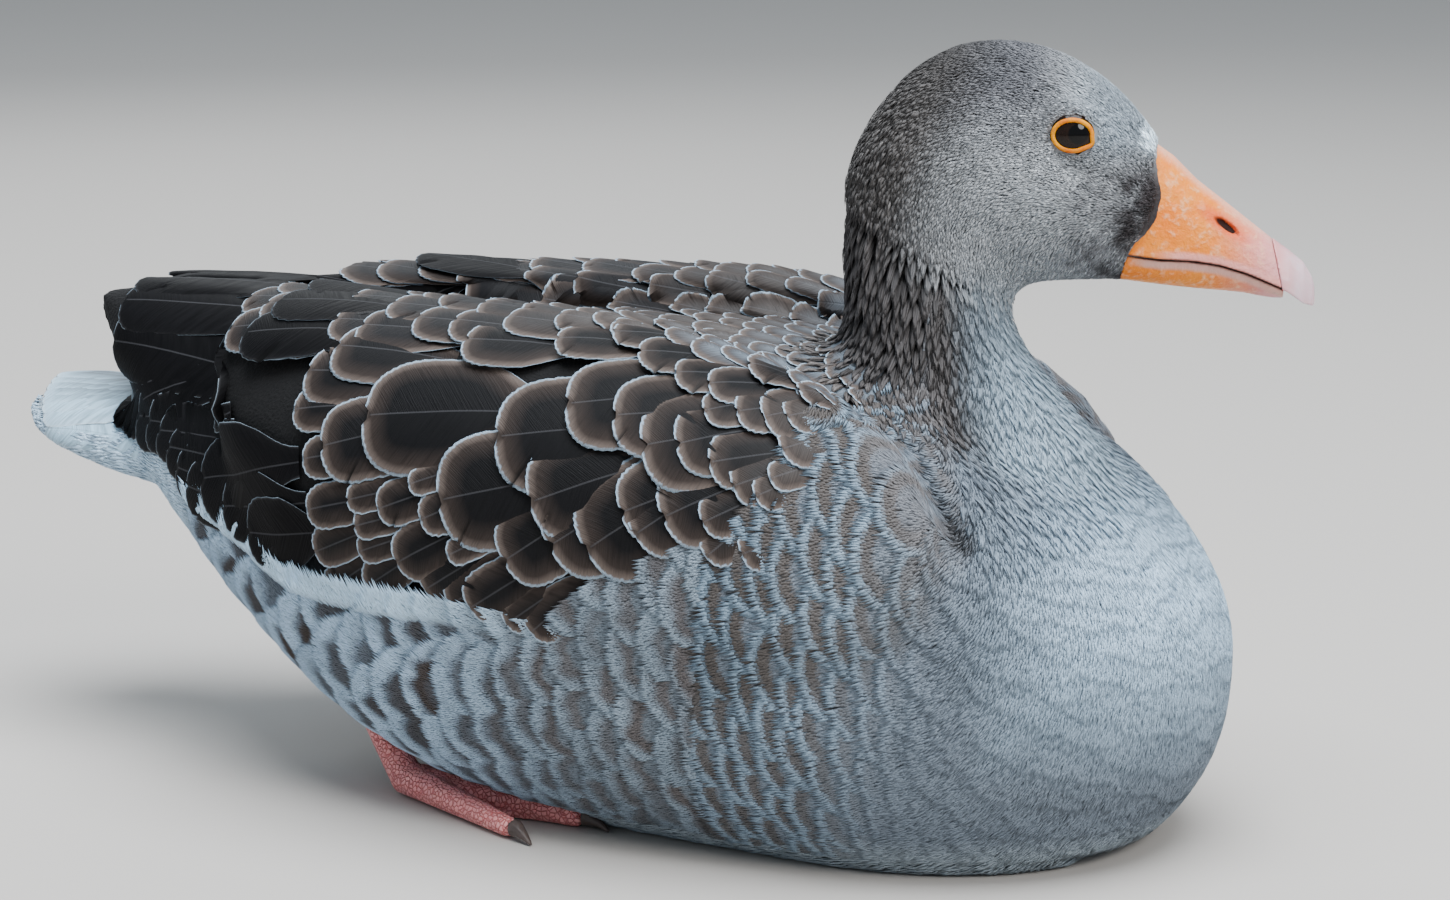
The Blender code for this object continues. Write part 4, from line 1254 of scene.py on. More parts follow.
# %% Making the soft coat
def make_soft_coat():
    """Two breasts, two flanks, the belly and the rear, each a piece below the limit of triangles."""
    for n, (label, sign) in enumerate((("right", -1.0), ("left", 1.0))):
        def front(p, sign=sign):
            at = p["at"]
            return is_soft(p) & is_front(at) & (at[:, 2] > 0.006) & (at[:, 1] * sign >= 0)

        def flank(p, sign=sign):
            at = p["at"]
            return (is_soft(p) & ~is_front(at) & (at[:, 1] * sign > 0.010) & (at[:, 2] > 0.008)
                    & (at[:, 0] > -0.122) & (in_degrees(at) < 60))

        rounds = filled(laid_out(sign, 0.060, 0.215, 0.0072, 10.5, seed=5 + n), front, 0.0105, 61 + n)
        soft_coat("coat_breast_" + label, front, 160000, 0.00066, rounds, 0.0105, 0.0160, front_look,
                  31 + 10 * n, splay=0.14, length=0.0092, width=0.00098, untidy=0.05)
        rounds = filled(laid_out(sign, -0.135, 0.105, 0.0098, 11.0, seed=7 + n), flank, 0.0150, 63 + n)
        soft_coat("coat_flank_" + label, flank, 190000, 0.00059, rounds, 0.0138, 0.0160, flank_look,
                  51 + 10 * n, splay=0.20, length=0.0066, width=0.00084, untidy=0.06)

    def belly(p):
        at = p["at"]
        between = (np.abs(at[:, 1]) <= 0.011) & (at[:, 2] < 0.06) & (at[:, 0] < 0.05)
        under = (at[:, 2] <= 0.0085) | between
        return is_soft(p) & under & (at[:, 0] > -0.122) & (at[:, 0] < 0.17)

    def rear(p):
        at = p["at"]
        rest = p["weight"][:, 2] + p["weight"][:, 5]
        on_top = (at[:, 0] < -0.165) & (p["normal"][:, 2] > 0.6)
        below = in_degrees(at) < lower_edge(at[:, 0]) + 4
        return (rest > 0.5) & (at[:, 0] <= -0.119) & below & ~on_top

    rounds = spaced(coat.scattered(4000, 91, belly), np.full(4000, 0.0090), 92)
    soft_coat("coat_belly", belly, 60000, 0.00125, rounds, 0.0120, 0.0090, plain_look, 93,
              length=0.0105, width=0.0014)
    rounds = spaced(coat.scattered(4000, 95, rear), np.full(4000, 0.0080), 96)
    soft_coat("coat_rear", rear, 70000, 0.00090, rounds, 0.0130, 0.0080, rear_look, 97,
              length=0.0110, width=0.0011, splay=0.15, untidy=0.05)


make_soft_coat()
print("soft feathers after", round(time.time() - STARTED, 1), "s")

# %% [markdown]
# ## Firm vanes
# Wing feathers are plates of locked barbs. Each is modelled as a thin closed blade: barbs run from
# the shaft to the outline at a slant, every second one ends a little short, and here and there two
# part and leave a notch. The blade is then bent over the guide, its tip on top of the next feather
# and its root deep under the one before, so the rows overlap like shingles. Its points are worked
# out, because an operator's grid would have to be bent just as often, one blade at a time.

# %% One blade, flat
BLADE_COLUMNS = np.array((0.0, 0.45, 0.76, 0.93, 1.0))


def blade(width, length, barbs, seed, roundness=2.9):
    """A flat blade as a grid of rows from root to tip: across, along, distance to the rim, notches."""
    random = np.random.default_rng(seed)
    half = width / 2
    straight = max(0.12, 1.0 - 0.58 * width / length)
    q = np.linspace(0.0, 0.975, barbs + 1)
    split = 0.42
    theta = np.clip((q - split) / (1 - split), 0, 1) * math.pi / 2
    along = np.where(q < split, length * straight * q / split,
                     length * (straight + (1 - straight) * np.sin(theta) ** (2 / roundness)))
    across = np.where(q < split, half * (0.30 + 0.70 * rise(q / split, 0.0, 0.8)),
                      half * np.cos(theta) ** (2 / roundness))
    shaft = np.maximum(along - 0.80 * across, length * 0.01 * np.arange(barbs + 1) / barbs)
    shaft = np.maximum.accumulate(shaft + np.arange(barbs + 1) * 1e-6)
    places, notched = [], []
    notch = np.zeros((2, barbs + 1))
    if barbs > 13 and random.random() < 0.75:
        notch[random.integers(2), random.integers(int(barbs * 0.5), barbs - 2)] = 1.0
    for side, share in [(-1, c) for c in BLADE_COLUMNS[:0:-1]] + [(1, c) for c in BLADE_COLUMNS]:
        tooth = random.uniform(0.0001, 0.0005, barbs + 1) * (np.arange(barbs + 1) % 2) * (q > 0.25)
        tooth = tooth * min(1.0, width / 0.012) * (share == 1.0)
        out = across * share - tooth
        up = shaft + (along - shaft) * share - np.sin(share * math.pi) * 0.03 * across
        places.append(np.column_stack((side * out, up - tooth * 0.5)))
        notched.append(notch[(side + 1) // 2] * (share > 0.5))
    grid = np.stack(places, axis=1)
    outline = np.concatenate((grid[:, 0], grid[::-1, -1]))
    gap = np.linalg.norm(grid[:, :, None] - outline[None, None], axis=-1).min(-1)
    return grid, gap, np.stack(notched, axis=1)


# %% Faces of a blade
def blade_faces(rows, columns):
    """Top grid, a keel of points below the shaft, and both ends closed."""
    keel = rows * columns
    faces = []
    for i in range(rows - 1):
        for j in range(columns - 1):
            a = i * columns + j
            faces.append((a, a + 1, a + columns + 1, a + columns))
        first, last = i * columns, i * columns + columns - 1
        faces.append((first, first + columns, keel + i + 1, keel + i))
        faces.append((last, keel + i, keel + i + 1, last + columns))
    faces.append(tuple(range(columns))[::-1] + (keel,))
    faces.append(tuple((rows - 1) * columns + j for j in range(columns)) + (keel + rows - 1,))
    return faces


print("one blade:", blade(0.04, 0.06, 30, 1)[0].shape)

# %% Bending blades over the guide
MARCH = 12                             # steps in which a shaft is followed over the guide
THICKNESS = 0.00035


def bent_blades(name, tips, headings, widths, lengths, seed, finish, main, margins, unwrap,
                lift=0.0006, sink=0.0040, camber=0.0008, tilt=0.0005, pitch=0.0011, layers=None):
    """A piece of bent blades. tips are places on the guide, headings lead along the shafts to them."""
    random = np.random.default_rng(seed)
    number = len(widths)
    here = tips
    way = -flattened(headings, here["normal"])
    spine = [(here["at"], way, here["normal"])]
    for _ in range(MARCH):
        here = coat.nearest(here["at"] + way * (lengths / MARCH)[:, None])
        way = flattened(way, here["normal"])
        spine.append((here["at"], way, here["normal"]))
    spine = np.array(spine)
    sheets, faces, start = [], [], 0
    lists = {key: [] for key in ("rim", "barb", "shaft", "notch", "margin", "seed")}  # lengths in mm
    colours, patches = [], []
    roots = unwrap(tips["at"])
    for n in range(number):
        barbs = int(np.clip(round(1.25 * widths[n] / pitch), 9, 42))
        flat, gap, notched = blade(widths[n], lengths[n], barbs, seed * 1000 + n)
        rows, columns = flat.shape[:2]
        run = np.clip((lengths[n] - flat[..., 1].ravel()) / lengths[n] * MARCH, 0, MARCH)
        centre, ways, ups = (np.column_stack([np.interp(run, np.arange(MARCH + 1), spine[:, k, n, axis])
                                              for axis in range(3)]) for k in range(3))
        sides = unit(np.cross(ways, ups))
        hit = coat.nearest(centre + sides * flat[..., 0].reshape(-1, 1))
        normal = unit(hit["normal"] + unit(ups))
        share = np.clip(flat[..., 1].ravel() / lengths[n], 0.0, 1.0)
        wide = flat[..., 0].ravel() / (widths[n] / 2)
        down = np.sign(sides[:, 2]) * -1.0
        layer = (layers[n] if layers is not None else random.uniform(-0.0002, 0.0003)) + lift
        height = -sink + (sink + layer) * share ** 0.8 + camber * (1 - wide ** 2) * rise(share, 0.1, 0.6)
        height += tilt * wide * down - notched.ravel() * 0.0012
        top = hit["at"] + normal * height[:, None]
        grid = top.reshape(rows, columns, 3)
        keel = grid[:, columns // 2] - normal.reshape(rows, columns, 3)[:, columns // 2] * THICKNESS
        sheets.append(np.concatenate((top, keel)))
        faces += [tuple(start + i for i in face) for face in blade_faces(rows, columns)]
        size = rows * columns + rows
        start += size
        row_of = np.repeat(np.arange(rows), columns)
        lists["rim"].append(np.concatenate((gap.ravel(), gap[:, columns // 2])) * 1000)
        lists["barb"].append(np.concatenate((row_of, np.arange(rows))) + random.uniform(0, 50))
        lists["shaft"].append(np.concatenate((np.abs(flat[..., 0]).ravel() * 1000, np.zeros(rows))))
        lists["notch"].append(np.concatenate((notched.ravel(), np.zeros(rows))))
        lists["margin"].append(np.full(size, margins[n]))
        lists["seed"].append(np.full(size, random.random()))
        colours.append(np.tile(main[n] * random.lognormal(0, 0.08), (size, 1)))
        spot = np.column_stack((np.concatenate((wide, np.zeros(rows))) / 2,
                                np.concatenate((share, np.linspace(0, 1, rows))) - 0.5))
        patches.append(roots[n] + spot * PATCH)
    piece_from(name, np.concatenate(sheets), faces, np.concatenate(colours),
               np.concatenate(patches), finish,
               {key: np.concatenate(value) for key, value in lists.items()})


# %% [markdown]
# ## The finish of a firm vane
# A blade is darkest in the middle, browner towards the rim, buff near it, and ends in a crisp pale
# margin. The rim distance is stored in the mesh, so one finish serves every size of feather. Fine
# lines along the barbs break the margin up, and the shaft shows as a thin paler line.

# %% Firm vane finish
def vane_finish(name, brown, buff, edge, gloss=0.12):
    made = Finish(name, Specular_IOR_Level=gloss)
    colour = made.attribute("coat", "Color")
    rim = made.attribute("rim")
    margin = made.attribute("margin")
    barb = made.attribute("barb")
    seed = made.attribute("seed")
    strand = made.threads(barb * 3.1, rim * 0.10 + seed * 40.0, 3.0)
    frayed = rim / margin + (strand - 0.5) * 0.9
    browned = made.mix(brown, colour, made.ramp(frayed * 0.1, (0.10, 0.0), (0.62, 1.0)))
    buffed = made.mix(buff, browned, made.ramp(frayed * 0.1, (0.05, 0.0), (0.24, 1.0)))
    edged = made.mix(edge, buffed, made.ramp(frayed * 0.1, (0.030, 0.0), (0.075, 1.0)))
    lined = made.mix(edged, (0, 0, 0, 1), made.ramp(strand, (0.30, 0.42), (0.62, 0.0)))
    shaft = made.ramp(made.attribute("shaft"), (0.16, 1.0), (0.36, 0.0))
    shafted = made.mix(lined, (0.12, 0.12, 0.13, 1), shaft * 0.22)
    # painted shade: where barbs part and leave a notch, the vane is darkened almost to black
    notched = made.mix(shafted, (0.004, 0.004, 0.004, 1), made.attribute("notch") * 0.9)
    made.feed(Base_Color=notched, Roughness=0.48 + strand * 0.22,
              Normal=made.bump(strand + shaft * 0.3, 0.00022, 0.8))
    return made.material


WING_VANES = vane_finish("wing_vanes", (0.044, 0.032, 0.027, 1), (0.145, 0.114, 0.098, 1),
                         (0.400, 0.520, 0.640, 1))


# %% [markdown]
# ## Rows on the wing
# The big feathers of the closed wing are placed one by one, each by where its tip lies, the way it
# points and its width. The far wing wears the same rows, a little varied.

# %% Wing feathers: distance along, angle round the body, slope, width (mm and degrees)
WING_ROWS = (
    (-63, 34, 8, 17), (-56, 26, 12, 15), (-53, 18, 16, 15), (-52, 11, 26, 14), (-49, 4, 34, 13),
    (-63, 41, 1, 26), (-56, 46, -2, 28), (-35, 33, 7, 42), (-49, 28, 16, 29), (-37, 20, 16, 11),
    (-34, 16, 18, 11), (-33, 12, 23, 11), (-32, 6, 34, 14), (-25, 19, 22, 15), (-18, 11, 30, 19),
    (-14, 23, 22, 10), (-9, 18, 25, 15), (-9, 7, 33, 20), (-3, 21, 16, 38), (1, 13, 28, 10),
    (0, 5, 34, 17), (7, 5, 33, 18), (-11, 48, 5, 24), (13, 31, 12, 40), (20, 13, 35, 27),
    (19, 3, 35, 12), (28, 22, 24, 33), (35, 16, 34, 34), (27, 2, 40, 15), (33, 37, 16, 35),
    (47, 16, 36, 35), (20, 49, 14, 20), (49, 36, 15, 31), (57, 22, 26, 27), (62, 19, 38, 26),
    (36, 52, 20, 18), (60, 32, 20, 36), (70, 22, 30, 29), (48, 48, 20, 20), (62, 45, 21, 17),
    (70, 33, 25, 27), (81, 31, 21, 21), (82, 22, 31, 16), (84, 17, 44, 14), (73, 44, 26, 18),
    (75, 39, 32, 16), (84, 40, 29, 19), (89, 28, 29, 19), (94, 18, 27, 16), (80, 50, 30, 20),
    (92, 40, 36, 24), (96, 27, 33, 14), (99, 30, 33, 12), (98, 41, 42, 18), (100, 35, 38, 18),
    (97, 47, 38, 16),
)

# %% The rows on both wings
def heading_from(places, slope):
    """Directions towards the tips: rearwards along the surface, sloping down by so many degrees."""
    rear = flattened(REARWARDS, places["normal"])
    down = np.cross(rear, places["normal"])
    down *= -np.sign(down[:, 2:3])
    turn = np.radians(slope)[:, None]
    return rear * np.cos(turn) + down * np.sin(turn)


def make_wings():
    table = np.array(WING_ROWS, float)
    for label, side, seed in (("right", -1.0, 101), ("left", 1.0, 102)):
        random = np.random.default_rng(seed)
        rows = table.copy()
        if side > 0:
            rows[:, 0] += random.normal(0, 1.5, len(rows))
            rows[:, 1] += random.normal(0, 1.0, len(rows))
        places, met = at_angle(rows[:, 0] / 1000, rows[:, 1], side)
        width = rows[:, 3] / 1000
        length = np.maximum(width * 1.5, 0.024 + width * 0.75)
        main = blend(WING_DARK[None], SHOULDER[None], rise(rows[:, 0], 75, 125))
        margin = 1.05 + 0.50 * rise(width, 0.015, 0.04)
        bent_blades("wing_feathers_" + label, places, heading_from(places, rows[:, 2]), width,
                    length, seed, WING_VANES, main, margin, unwrap_lengthwise)
        print("wing feathers:", len(rows), "met:", int(met.sum()))


make_wings()

# %% Small vanes on the back
def make_upper_feathers():
    """Smaller vanes on the back between the wings, on their upper edges and on their inner faces."""
    def above(p):
        at, weight = p["at"], p["weight"]
        outward = p["normal"][:, 1] * np.sign(at[:, 1]) > -0.2
        angle = in_degrees(at)
        in_rows = outward & (angle < row_top(at[:, 0]) + 1) & (weight[:, 3] > 0.5)
        back = (weight[:, 1] < 0.45) & (weight[:, 0] < 0.2) & (at[:, 2] > 0.10) & (at[:, 0] < 0.118)
        on_step = (at[:, 0] <= -0.080) & ((p["normal"][:, 2] <= 0.6) | (at[:, 2] <= 0.140))
        return (back & ~in_rows & ~on_step & (angle > lower_edge(at[:, 0])) & (weight[:, 4] < 0.6)
                & (at[:, 0] > -0.125))

    places = coat.scattered(12000, 131, above)
    shift = rise(-places["at"][:, 0], -0.09, 0.06)
    sites = spaced({**places, "shift": shift[:, None]}, 0.0080 + 0.0045 * shift, 132)
    shift = sites.pop("shift")[:, 0]
    number = len(sites["at"])
    width = 0.0125 + 0.0115 * shift
    order = np.argsort(-sites["at"][:, 0])
    sites, width, shift = picked(sites, order), width[order], shift[order]
    main = blend(SHOULDER[None] * 0.80, WING_DARK[None] * 1.6, rise(shift, 0.2, 0.9))
    main = blend(main, BREAST * 0.46, rise(sites["at"][:, 0], 0.030, 0.080) * 0.6)
    heading = sites["lie"] + np.array((-1.2, 0.0, 0.0))
    bent_blades("upper_feathers", sites, heading, width, width * 2.1, 133, WING_VANES,
                main, np.full(number, 1.15), unwrap_lengthwise, lift=0.0004, tilt=0.0, pitch=0.0012)
    print("upper feathers:", number)


make_upper_feathers()
print("wings after", round(time.time() - STARTED, 1), "s")

# %% [markdown]
# ## Wing tips and tail
# Behind the covert rows the long flight feathers lie on one another like a closed fan, and between
# and below them the tail shows, grey-brown in the middle and white at its sides and end.

# %% Long feathers at the rear
REAR_VANES = vane_finish("rear_vanes", (0.0080, 0.0078, 0.0085, 1), (0.035, 0.034, 0.037, 1),
                         (0.240, 0.300, 0.350, 1), 0.05)
TAIL_VANES = vane_finish("tail_vanes", (0.40, 0.56, 0.68, 1), (0.45, 0.61, 0.74, 1),
                         (0.56, 0.70, 0.81, 1))
TAIL_MIDDLE = np.array((0.060, 0.055, 0.053))
# distance along, angle round the body, slope, width, length (mm and degrees)
FLIGHT_ROWS = (
    (-175, 84, -2, 26, 120), (-175, 76, -2, 28, 120), (-175, 69, 0, 28, 120), (-174, 62, 1, 26, 115),
    (-167, 55, 2, 24, 100), (-157, 49, 0, 24, 80), (-149, 45, -3, 22, 70), (-141, 40, -5, 22, 66),
    (-133, 34, -6, 22, 62), (-126, 28, -6, 22, 60), (-119, 23, -4, 22, 56), (-112, 44, 2, 34, 60),
    (-110, 24, 9, 34, 58), (-97, 18, 8, 24, 46), (-84, 13, 8, 24, 40), (-96, 50, 2, 26, 60),
    (-92, 59, 0, 26, 62), (-90, 69, -2, 26, 62),
)

# %% Placing the flight feathers
def make_flight_feathers():
    for label, side, seed in (("right", -1.0, 111), ("left", 1.0, 112)):
        table = np.array(FLIGHT_ROWS, float)
        places, met = at_angle(table[:, 0] / 1000, table[:, 1], side)
        rows, places = table[met], picked(places, met)
        main = np.tile(WING_DARK * 0.95, (len(rows), 1))
        bent_blades("flight_feathers_" + label, places, heading_from(places, rows[:, 2]),
                    rows[:, 3] / 1000, rows[:, 4] / 1000, seed, REAR_VANES, main,
                    np.full(len(rows), 0.5), unwrap_lengthwise, lift=0.0006, sink=0.0022, pitch=0.0016,
                    layers=np.linspace(0.0002, 0.0016, len(rows)))
        print("flight feathers:", len(rows))


# %% Placing the tail feathers
def make_tail():
    number = 15
    fan = np.linspace(-1, 1, number)
    low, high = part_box("tail")
    reach = low.x + 0.0035 + 0.016 * np.abs(fan) ** 1.6
    across = fan * (high.y - 0.004) * 0.96
    start = np.column_stack((reach, across, 0 * fan + high.z + 0.06))
    places, met = coat.cast(start, np.tile((0.0, 0.0, -1.0), (number, 1)))
    places = picked(places, met)
    fan = fan[met]
    heading = np.column_stack((-np.cos(fan * 0.35), np.sin(fan * 0.35), 0 * fan))
    aside = np.abs(fan)
    main = blend(TAIL_MIDDLE[None], WHITE[None] * (0.72, 0.91, 1.02), rise(aside, 0.45, 0.80))
    bent_blades("tail_feathers", places, heading, np.full(len(fan), 0.020), np.full(len(fan), 0.075),
                122, TAIL_VANES, main, np.full(len(fan), 2.0), unwrap_lengthwise,
                lift=0.0004, sink=0.0018, pitch=0.0014, layers=0.0008 - 0.0010 * aside)
    print("tail feathers:", len(fan))


make_flight_feathers()
make_tail()

# %% [markdown]
# ## The bill
# The bill is soft horn over bone: fleshy orange with pink towards its end, a waxy surface with the
# faintest pores, a pale nail at the tip and a slit of a nostril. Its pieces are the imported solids
# again with a fine skin, so their facets melt away.

# %% Finer copies of the bill's solids
def refined(name, nodes, voxel, rounds, finish, swell=0.0):
    """The solids on a fine grid, smoothed, standing in for themselves."""
    item = merged_copy(nodes, name)
    item = with_modifiers(item, ("DISPLACE", {"strength": swell, "mid_level": 0.0}),
                          ("REMESH", {"mode": "VOXEL", "voxel_size": voxel}))
    points = averaged(points_of(item.data), edges_of(item.data), rounds, back=PUSH_BACK)
    item.data.vertices.foreach_set("co", points.ravel())
    smooth(item.data)
    item.data.update()
    item.data.materials.clear()
    item.data.materials.append(finish)
    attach(item, "root")
    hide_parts(*nodes)
    print(name, "points:", len(item.data.vertices))
    return item


# %% [markdown]
# The bill's finish is painted from values kept in its mesh: how far ahead a point lies, and how near
# it is to the nostril, its groove, the ridge, the mouth line and the rims beside it. Each value lets
# one tone in over the one before. The nail turns from the bill's pink to a pale lilac.

# %% Horn of the bill and of its nail
def bill_finish():
    made = Finish("bill_skin", Subsurface_Weight=0.12, Subsurface_Scale=0.002, Specular_IOR_Level=0.28)
    ahead = made.attribute("ahead")
    patchy = made.noise(95.0, 3.0)
    fine = made.noise(1100.0, 3.0)
    orange = made.mix((0.78, 0.175, 0.000, 1), (0.80, 0.245, 0.014, 1),
                      made.ramp(patchy, (0.35, 0.0), (0.70, 1.0)))
    pinker = made.mix(orange, (0.68, 0.240, 0.205, 1),
                      made.ramp(ahead + (patchy - 0.5) * 0.4, (0.50, 0.0), (0.86, 1.0)))
    flakes = made.ramp(made.noise(430.0, 6.0), (0.52, 0.0), (0.70, 0.60))
    flaked = made.mix(pinker, (0.82, 0.46, 0.27, 1), flakes)
    ridged = made.mix(flaked, (0.80, 0.400, 0.290, 1), made.attribute("ridge") * 0.75)
    pale = made.mix(ridged, (0.64, 0.295, 0.300, 1), made.ramp(ahead, (0.80, 0.0), (0.98, 1.0)))
    inner = made.mix(pale, (0.60, 0.33, 0.27, 1), made.attribute("inner"))
    reddish = made.mix(inner, (0.66, 0.085, 0.016, 1), made.attribute("groove") * 0.85)
    # painted shade: the nostril is painted as a near-black slit on the horn
    hollow = made.mix(reddish, (0.030, 0.004, 0.002, 1), made.attribute("nostril"))
    pink = made.mix(hollow, (0.76, 0.32, 0.29, 1), made.attribute("rim_line") * 0.85)
    # painted shade: a dark line along the mouth, where the two halves of the bill meet
    lipped = made.mix(pink, (0.07, 0.022, 0.012, 1), made.attribute("lip"))
    made.feed(Base_Color=lipped, Roughness=0.36 + fine * 0.22 + made.attribute("nostril") * 0.4,
              Normal=made.bump(fine * 0.6 + made.noise(430.0, 6.0) + patchy, 0.00045))
    return made.material


def nail_finish():
    made = Finish("nail_horn", Subsurface_Weight=0.15, Subsurface_Scale=0.002, Specular_IOR_Level=0.5)
    streak = made.noise(300.0, 3.0)
    lilac = made.mix((0.60, 0.38, 0.42, 1), (0.66, 0.52, 0.57, 1), streak)
    onward = made.ramp(made.attribute("onward") + (streak - 0.5) * 0.3, (0.10, 0.0), (0.60, 1.0))
    made.feed(Base_Color=made.mix((0.66, 0.300, 0.305, 1), lilac, onward),
              Roughness=0.30 + streak * 0.15, Normal=made.bump(streak, 0.0002))
    return made.material


BILL_FINISH = bill_finish()
NAIL_FINISH = nail_finish()

# %% The bill's three pieces
BILL_VOXEL = 0.00050
bill_upper = refined("upper_bill", ["bill_upper"], BILL_VOXEL, 5, BILL_FINISH)
bill_lower = refined("lower_bill", ["bill_lower"], BILL_VOXEL, 5, BILL_FINISH)
nail = refined("bill_tip_nail", ["bill_nail"], 0.00045, 5, NAIL_FINISH, 0.0004)
onward = head_view(points_of(nail.data))[0]
store(nail.data, "onward", (onward - onward.min()) / (onward.max() - onward.min()))

# %% Where the tones of the bill lie
NOSTRIL_AT = (0.0928, 0.1885)          # ahead and height of its middle
NOSTRIL_SLOPE = (0.809, 0.588)         # cosine and sine of its slant, down towards the tip
MOUTH_LINE = ((0.063, 0.1800), (0.0727, 0.1786), (0.0815, 0.1783), (0.0903, 0.1771), (0.0991, 0.1745),
              (0.1079, 0.1707), (0.1128, 0.1682), (0.1165, 0.1652))


def paint_bill(item, has_nostril):
    mesh = item.data
    ahead, left, height = head_view(points_of(mesh))
    store(mesh, "ahead", (ahead - 0.066) / 0.044)
    from_nostril = ahead - NOSTRIL_AT[0], height - NOSTRIL_AT[1]
    slit_run = from_nostril[0] * NOSTRIL_SLOPE[0] - from_nostril[1] * NOSTRIL_SLOPE[1]
    slit_rise = from_nostril[0] * NOSTRIL_SLOPE[1] + from_nostril[1] * NOSTRIL_SLOPE[0]
    plump = np.interp(slit_run, (-0.0042, -0.0024, 0.0010, 0.0050), (0.0011, 0.0015, 0.0007, 0.0003))
    inside = 1 - rise(np.hypot(slit_run / 0.0054, slit_rise / plump), 0.60, 1.0)
    store(mesh, "nostril", inside * has_nostril)
    groove = 1 - rise(np.hypot((slit_run + 0.0008) / 0.0125, slit_rise / 0.0034), 0.30, 1.0)
    store(mesh, "groove", groove * has_nostril)
    mouth = np.interp(ahead, [p[0] for p in MOUTH_LINE], [p[1] for p in MOUTH_LINE])
    store(mesh, "ridge", (1 - rise(np.abs(left), 0.0025, 0.0065)) * (height > mouth + 0.008))
    # painted shade along the mouth line, where the halves of the bill meet
    store(mesh, "lip", 1 - rise(np.abs(height - mouth), 0.0002, 0.0008))
    above = 1 - rise(np.abs(height - mouth - 0.0012), 0.0008, 0.0022)
    store(mesh, "rim_line", above * rise(ahead, 0.068, 0.080))
    below = (1 - rise(mouth - height, 0.0022, 0.0036)) * (height < mouth)
    store(mesh, "inner", below * rise(ahead, 0.062, 0.070))


paint_bill(bill_upper, True)
paint_bill(bill_lower, False)

# %% [markdown]
# ## The eyes
# A goose's eye is a dark brown, wet ball set in a ring of bare orange lid. The ball is a finely
# divided sphere, its pupil and iris are painted by the angle from the line of sight, and a very
# low roughness gives the gloss. The ring is a tube bent into an oval that hugs the ball.

# %% Eyeballs and lids
def eye_finish():
    made = Finish("eye", Roughness=0.04, Specular_IOR_Level=0.22)
    off = made.attribute("off_axis")
    iris = made.noise(1500.0, 3.0)
    brown = made.mix((0.006, 0.0028, 0.0016, 1), (0.016, 0.0070, 0.0035, 1), iris)
    outside_pupil = made.ramp(off, (0.34, 0.0), (0.40, 1.0))
    made.feed(Base_Color=made.mix((0.0015, 0.0012, 0.0012, 1), brown, outside_pupil))
    return made.material


def lid_finish():
    made = Finish("eyelid_ring", Subsurface_Weight=0.1, Subsurface_Scale=0.001, Specular_IOR_Level=0.2)
    fine = made.noise(2200.0, 2.0)
    wash = made.ramp(made.noise(260.0, 2.0), (0.35, 0.0), (0.62, 1.0))
    made.feed(Base_Color=made.mix((0.62, 0.135, 0.000, 1), (0.74, 0.285, 0.000, 1), wash),
              Roughness=0.50 + fine * 0.2, Normal=made.bump(fine, 0.0002))
    return made.material


EYE_FINISH = eye_finish()
LID_FINISH = lid_finish()


def make_eyeball(side, centre, out):
    """The ball stands in for the solid eye. Each point keeps its angle from the line of sight."""
    sight = unit(out * 0.97 + AHEAD * 0.22 + UP * 0.06)
    ball = bmesh.new()
    bmesh.ops.create_icosphere(ball, subdivisions=5, radius=EYE_RADIUS - 0.0001)
    bmesh.ops.translate(ball, verts=ball.verts, vec=Vector(centre))
    mesh = mesh_from(ball, "eyeball_" + side)
    item = in_scene("eyeball_" + side, mesh)
    smooth(mesh)
    mesh.materials.append(EYE_FINISH)
    store(mesh, "off_axis", np.arccos(np.clip(unit(points_of(mesh) - centre) @ sight, -1, 1)))
    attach(item, "root")
    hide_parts("eye_" + side)


# %% The ring of the lid
LID_TURNS, LID_ROUNDS = 72, 12
LID_HIGH, LID_WIDE = 0.00060, 0.00074  # half-thickness out from the ball and across it
LID_CORNER = math.radians(329)         # where the opening runs out to a slight point


def make_lid(side, centre, out):
    level = unit(np.cross(UP, out))
    level = level if level @ AHEAD > 0 else -level
    tall = unit(np.cross(out, level))
    tall = tall if tall[2] > 0 else -tall
    t = np.linspace(0, 2 * math.pi, LID_TURNS, endpoint=False)
    wide, high = EYE_OPENING[0] + 0.0004, EYE_OPENING[1] + 0.0004
    corner = 1 + 0.15 * np.exp(-((t - LID_CORNER) / 0.26) ** 2)
    flat = level * (np.cos(t) * wide * corner)[:, None] + tall * (np.sin(t) * high * corner)[:, None]
    far = np.sqrt(EYE_RADIUS ** 2 - (flat ** 2).sum(1)) + 0.0002
    middle = centre + flat + out * far[:, None]
    ahead = unit(np.roll(middle, -1, 0) - np.roll(middle, 1, 0))
    away = unit(middle - centre)
    sideways = np.cross(ahead, away)
    a = np.linspace(0, 2 * math.pi, LID_ROUNDS, endpoint=False)[None, :, None]
    tube = (middle[:, None] + sideways[:, None] * (np.cos(a) * LID_WIDE)
            + away[:, None] * (np.sin(a) * LID_HIGH))
    ring = bmesh.new()
    rows = [[ring.verts.new(point) for point in row] for row in tube.tolist()]
    for i in range(LID_TURNS):
        here, there = rows[i], rows[(i + 1) % LID_TURNS]
        for j in range(LID_ROUNDS):
            k = (j + 1) % LID_ROUNDS
            ring.faces.new((here[j], here[k], there[k], there[j]))
    bmesh.ops.recalc_face_normals(ring, faces=ring.faces)
    mesh = mesh_from(ring, "eyelid_" + side)
    smooth(mesh)
    mesh.materials.append(LID_FINISH)
    item = in_scene("eyelid_" + side, mesh)
    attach(item, "root")


for side, sign, centre in EYES:
    make_eyeball(side, centre, HEAD_LEFT * sign)
    make_lid(side, centre, HEAD_LEFT * sign)
print("lid ring:", LID_TURNS * LID_ROUNDS, "faces")

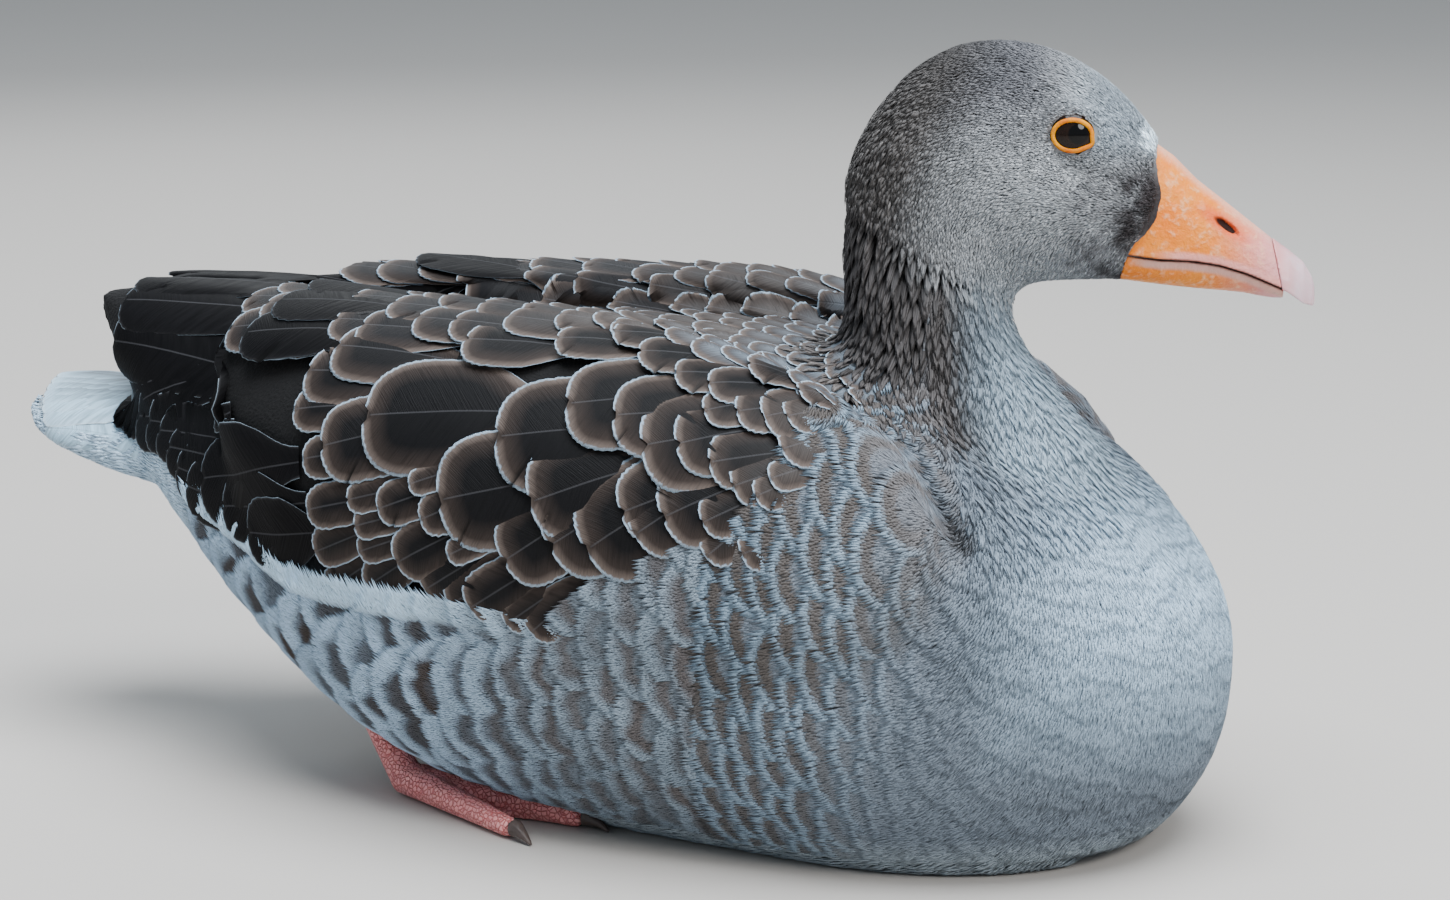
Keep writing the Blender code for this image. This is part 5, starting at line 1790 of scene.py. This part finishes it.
# %% [markdown]
# ## Feet and claws
# The webbed feet lie flat beneath the flanks and only their edges show: pink skin, netted with
# small scales, and short dark claws.

# %% Foot skin and claw horn
def foot_finish():
    made = Finish("foot_skin", Subsurface_Weight=0.1, Subsurface_Scale=0.002, Specular_IOR_Level=0.4)
    cells = made.node("ShaderNodeTexVoronoi", {"feature": "DISTANCE_TO_EDGE"},
                      {"Vector": made.place(), "Scale": 620.0})
    patchy = made.noise(130.0, 3.0)
    scale = made.ramp(cells, (0.0, 0.0), (0.16, 1.0))
    skin_tone = made.mix((0.95, 0.300, 0.300, 1), (0.96, 0.46, 0.44, 1), patchy)
    made.feed(Base_Color=made.mix((0.68, 0.150, 0.150, 1), skin_tone, scale),
              Roughness=0.45 + patchy * 0.15, Normal=made.bump(scale, 0.0005))
    return made.material


def claw_finish():
    made = Finish("claw_horn", Specular_IOR_Level=0.5)
    streak = made.noise(400.0, 3.0)
    made.feed(Base_Color=made.mix((0.030, 0.022, 0.020, 1), (0.10, 0.07, 0.06, 1), streak),
              Roughness=0.35 + streak * 0.15, Normal=made.bump(streak, 0.0002))
    return made.material


FOOT_FINISH = foot_finish()
CLAW_FINISH = claw_finish()
for side in ("left", "right"):
    refined("webbed_foot_" + side, ["foot_" + side], 0.00080, 3, FOOT_FINISH)
    claws = ["claw_" + side + "_" + toe for toe in ("inner", "middle", "outer")]
    refined("claws_" + side, claws, 0.00045, 3, CLAW_FINISH)


# %% [markdown]
# ## Floor and light
# A plain pale floor and three soft lamps: a broad one overhead that rounds the back, a key from the
# front right that models the breast and the bill, and a weak one behind.

# %% Stage
def make_floor():
    board = bmesh.new()
    bmesh.ops.create_grid(board, x_segments=1, y_segments=1, size=6.0)
    mesh = mesh_from(board, "floor")
    paper = Finish("floor_paper", Roughness=0.9, Specular_IOR_Level=0.1)
    mesh.materials.append(paper.feed(Base_Color=(0.50, 0.47, 0.44, 1)))
    in_scene("floor", mesh)


LIT_POINT = Vector((0.0, 0.0, 0.08))


def lamp(name, place, size, watts, colour):
    """A round soft lamp that shines on the bird."""
    light = bpy.data.lights.new(name, "AREA")
    light.shape = "DISK"
    light.size = size
    light.energy = watts
    light.color = colour
    item = in_scene(name, light)
    item.location = place
    item.rotation_mode = "QUATERNION"
    item.rotation_quaternion = (LIT_POINT - Vector(place)).to_track_quat("-Z", "Y")


make_floor()
lamp("sky_lamp", (0.3, -0.3, 2.2), 2.0, 118.0, (0.90, 0.95, 1.0))
lamp("key_lamp", (1.7, -0.9, 1.3), 0.9, 34.0, (1.0, 0.98, 0.96))
lamp("back_lamp", (-1.2, 1.4, 1.3), 1.0, 14.0, (0.95, 0.98, 1.0))
world = bpy.data.worlds.new("studio")
bpy.context.scene.world = world
world.use_nodes = True
sky = world.node_tree.nodes["Background"]
sky.inputs[0].default_value = (0.76, 0.87, 0.98, 1)
sky.inputs[1].default_value = 0.60

# %% [markdown]
# ## Leaving the bench clean
# The guide was only a ruler, so it goes.

# %% Clearing up and closing
bpy.data.objects.remove(guide)
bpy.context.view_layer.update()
print("made in", round(time.time() - STARTED, 1), "s")
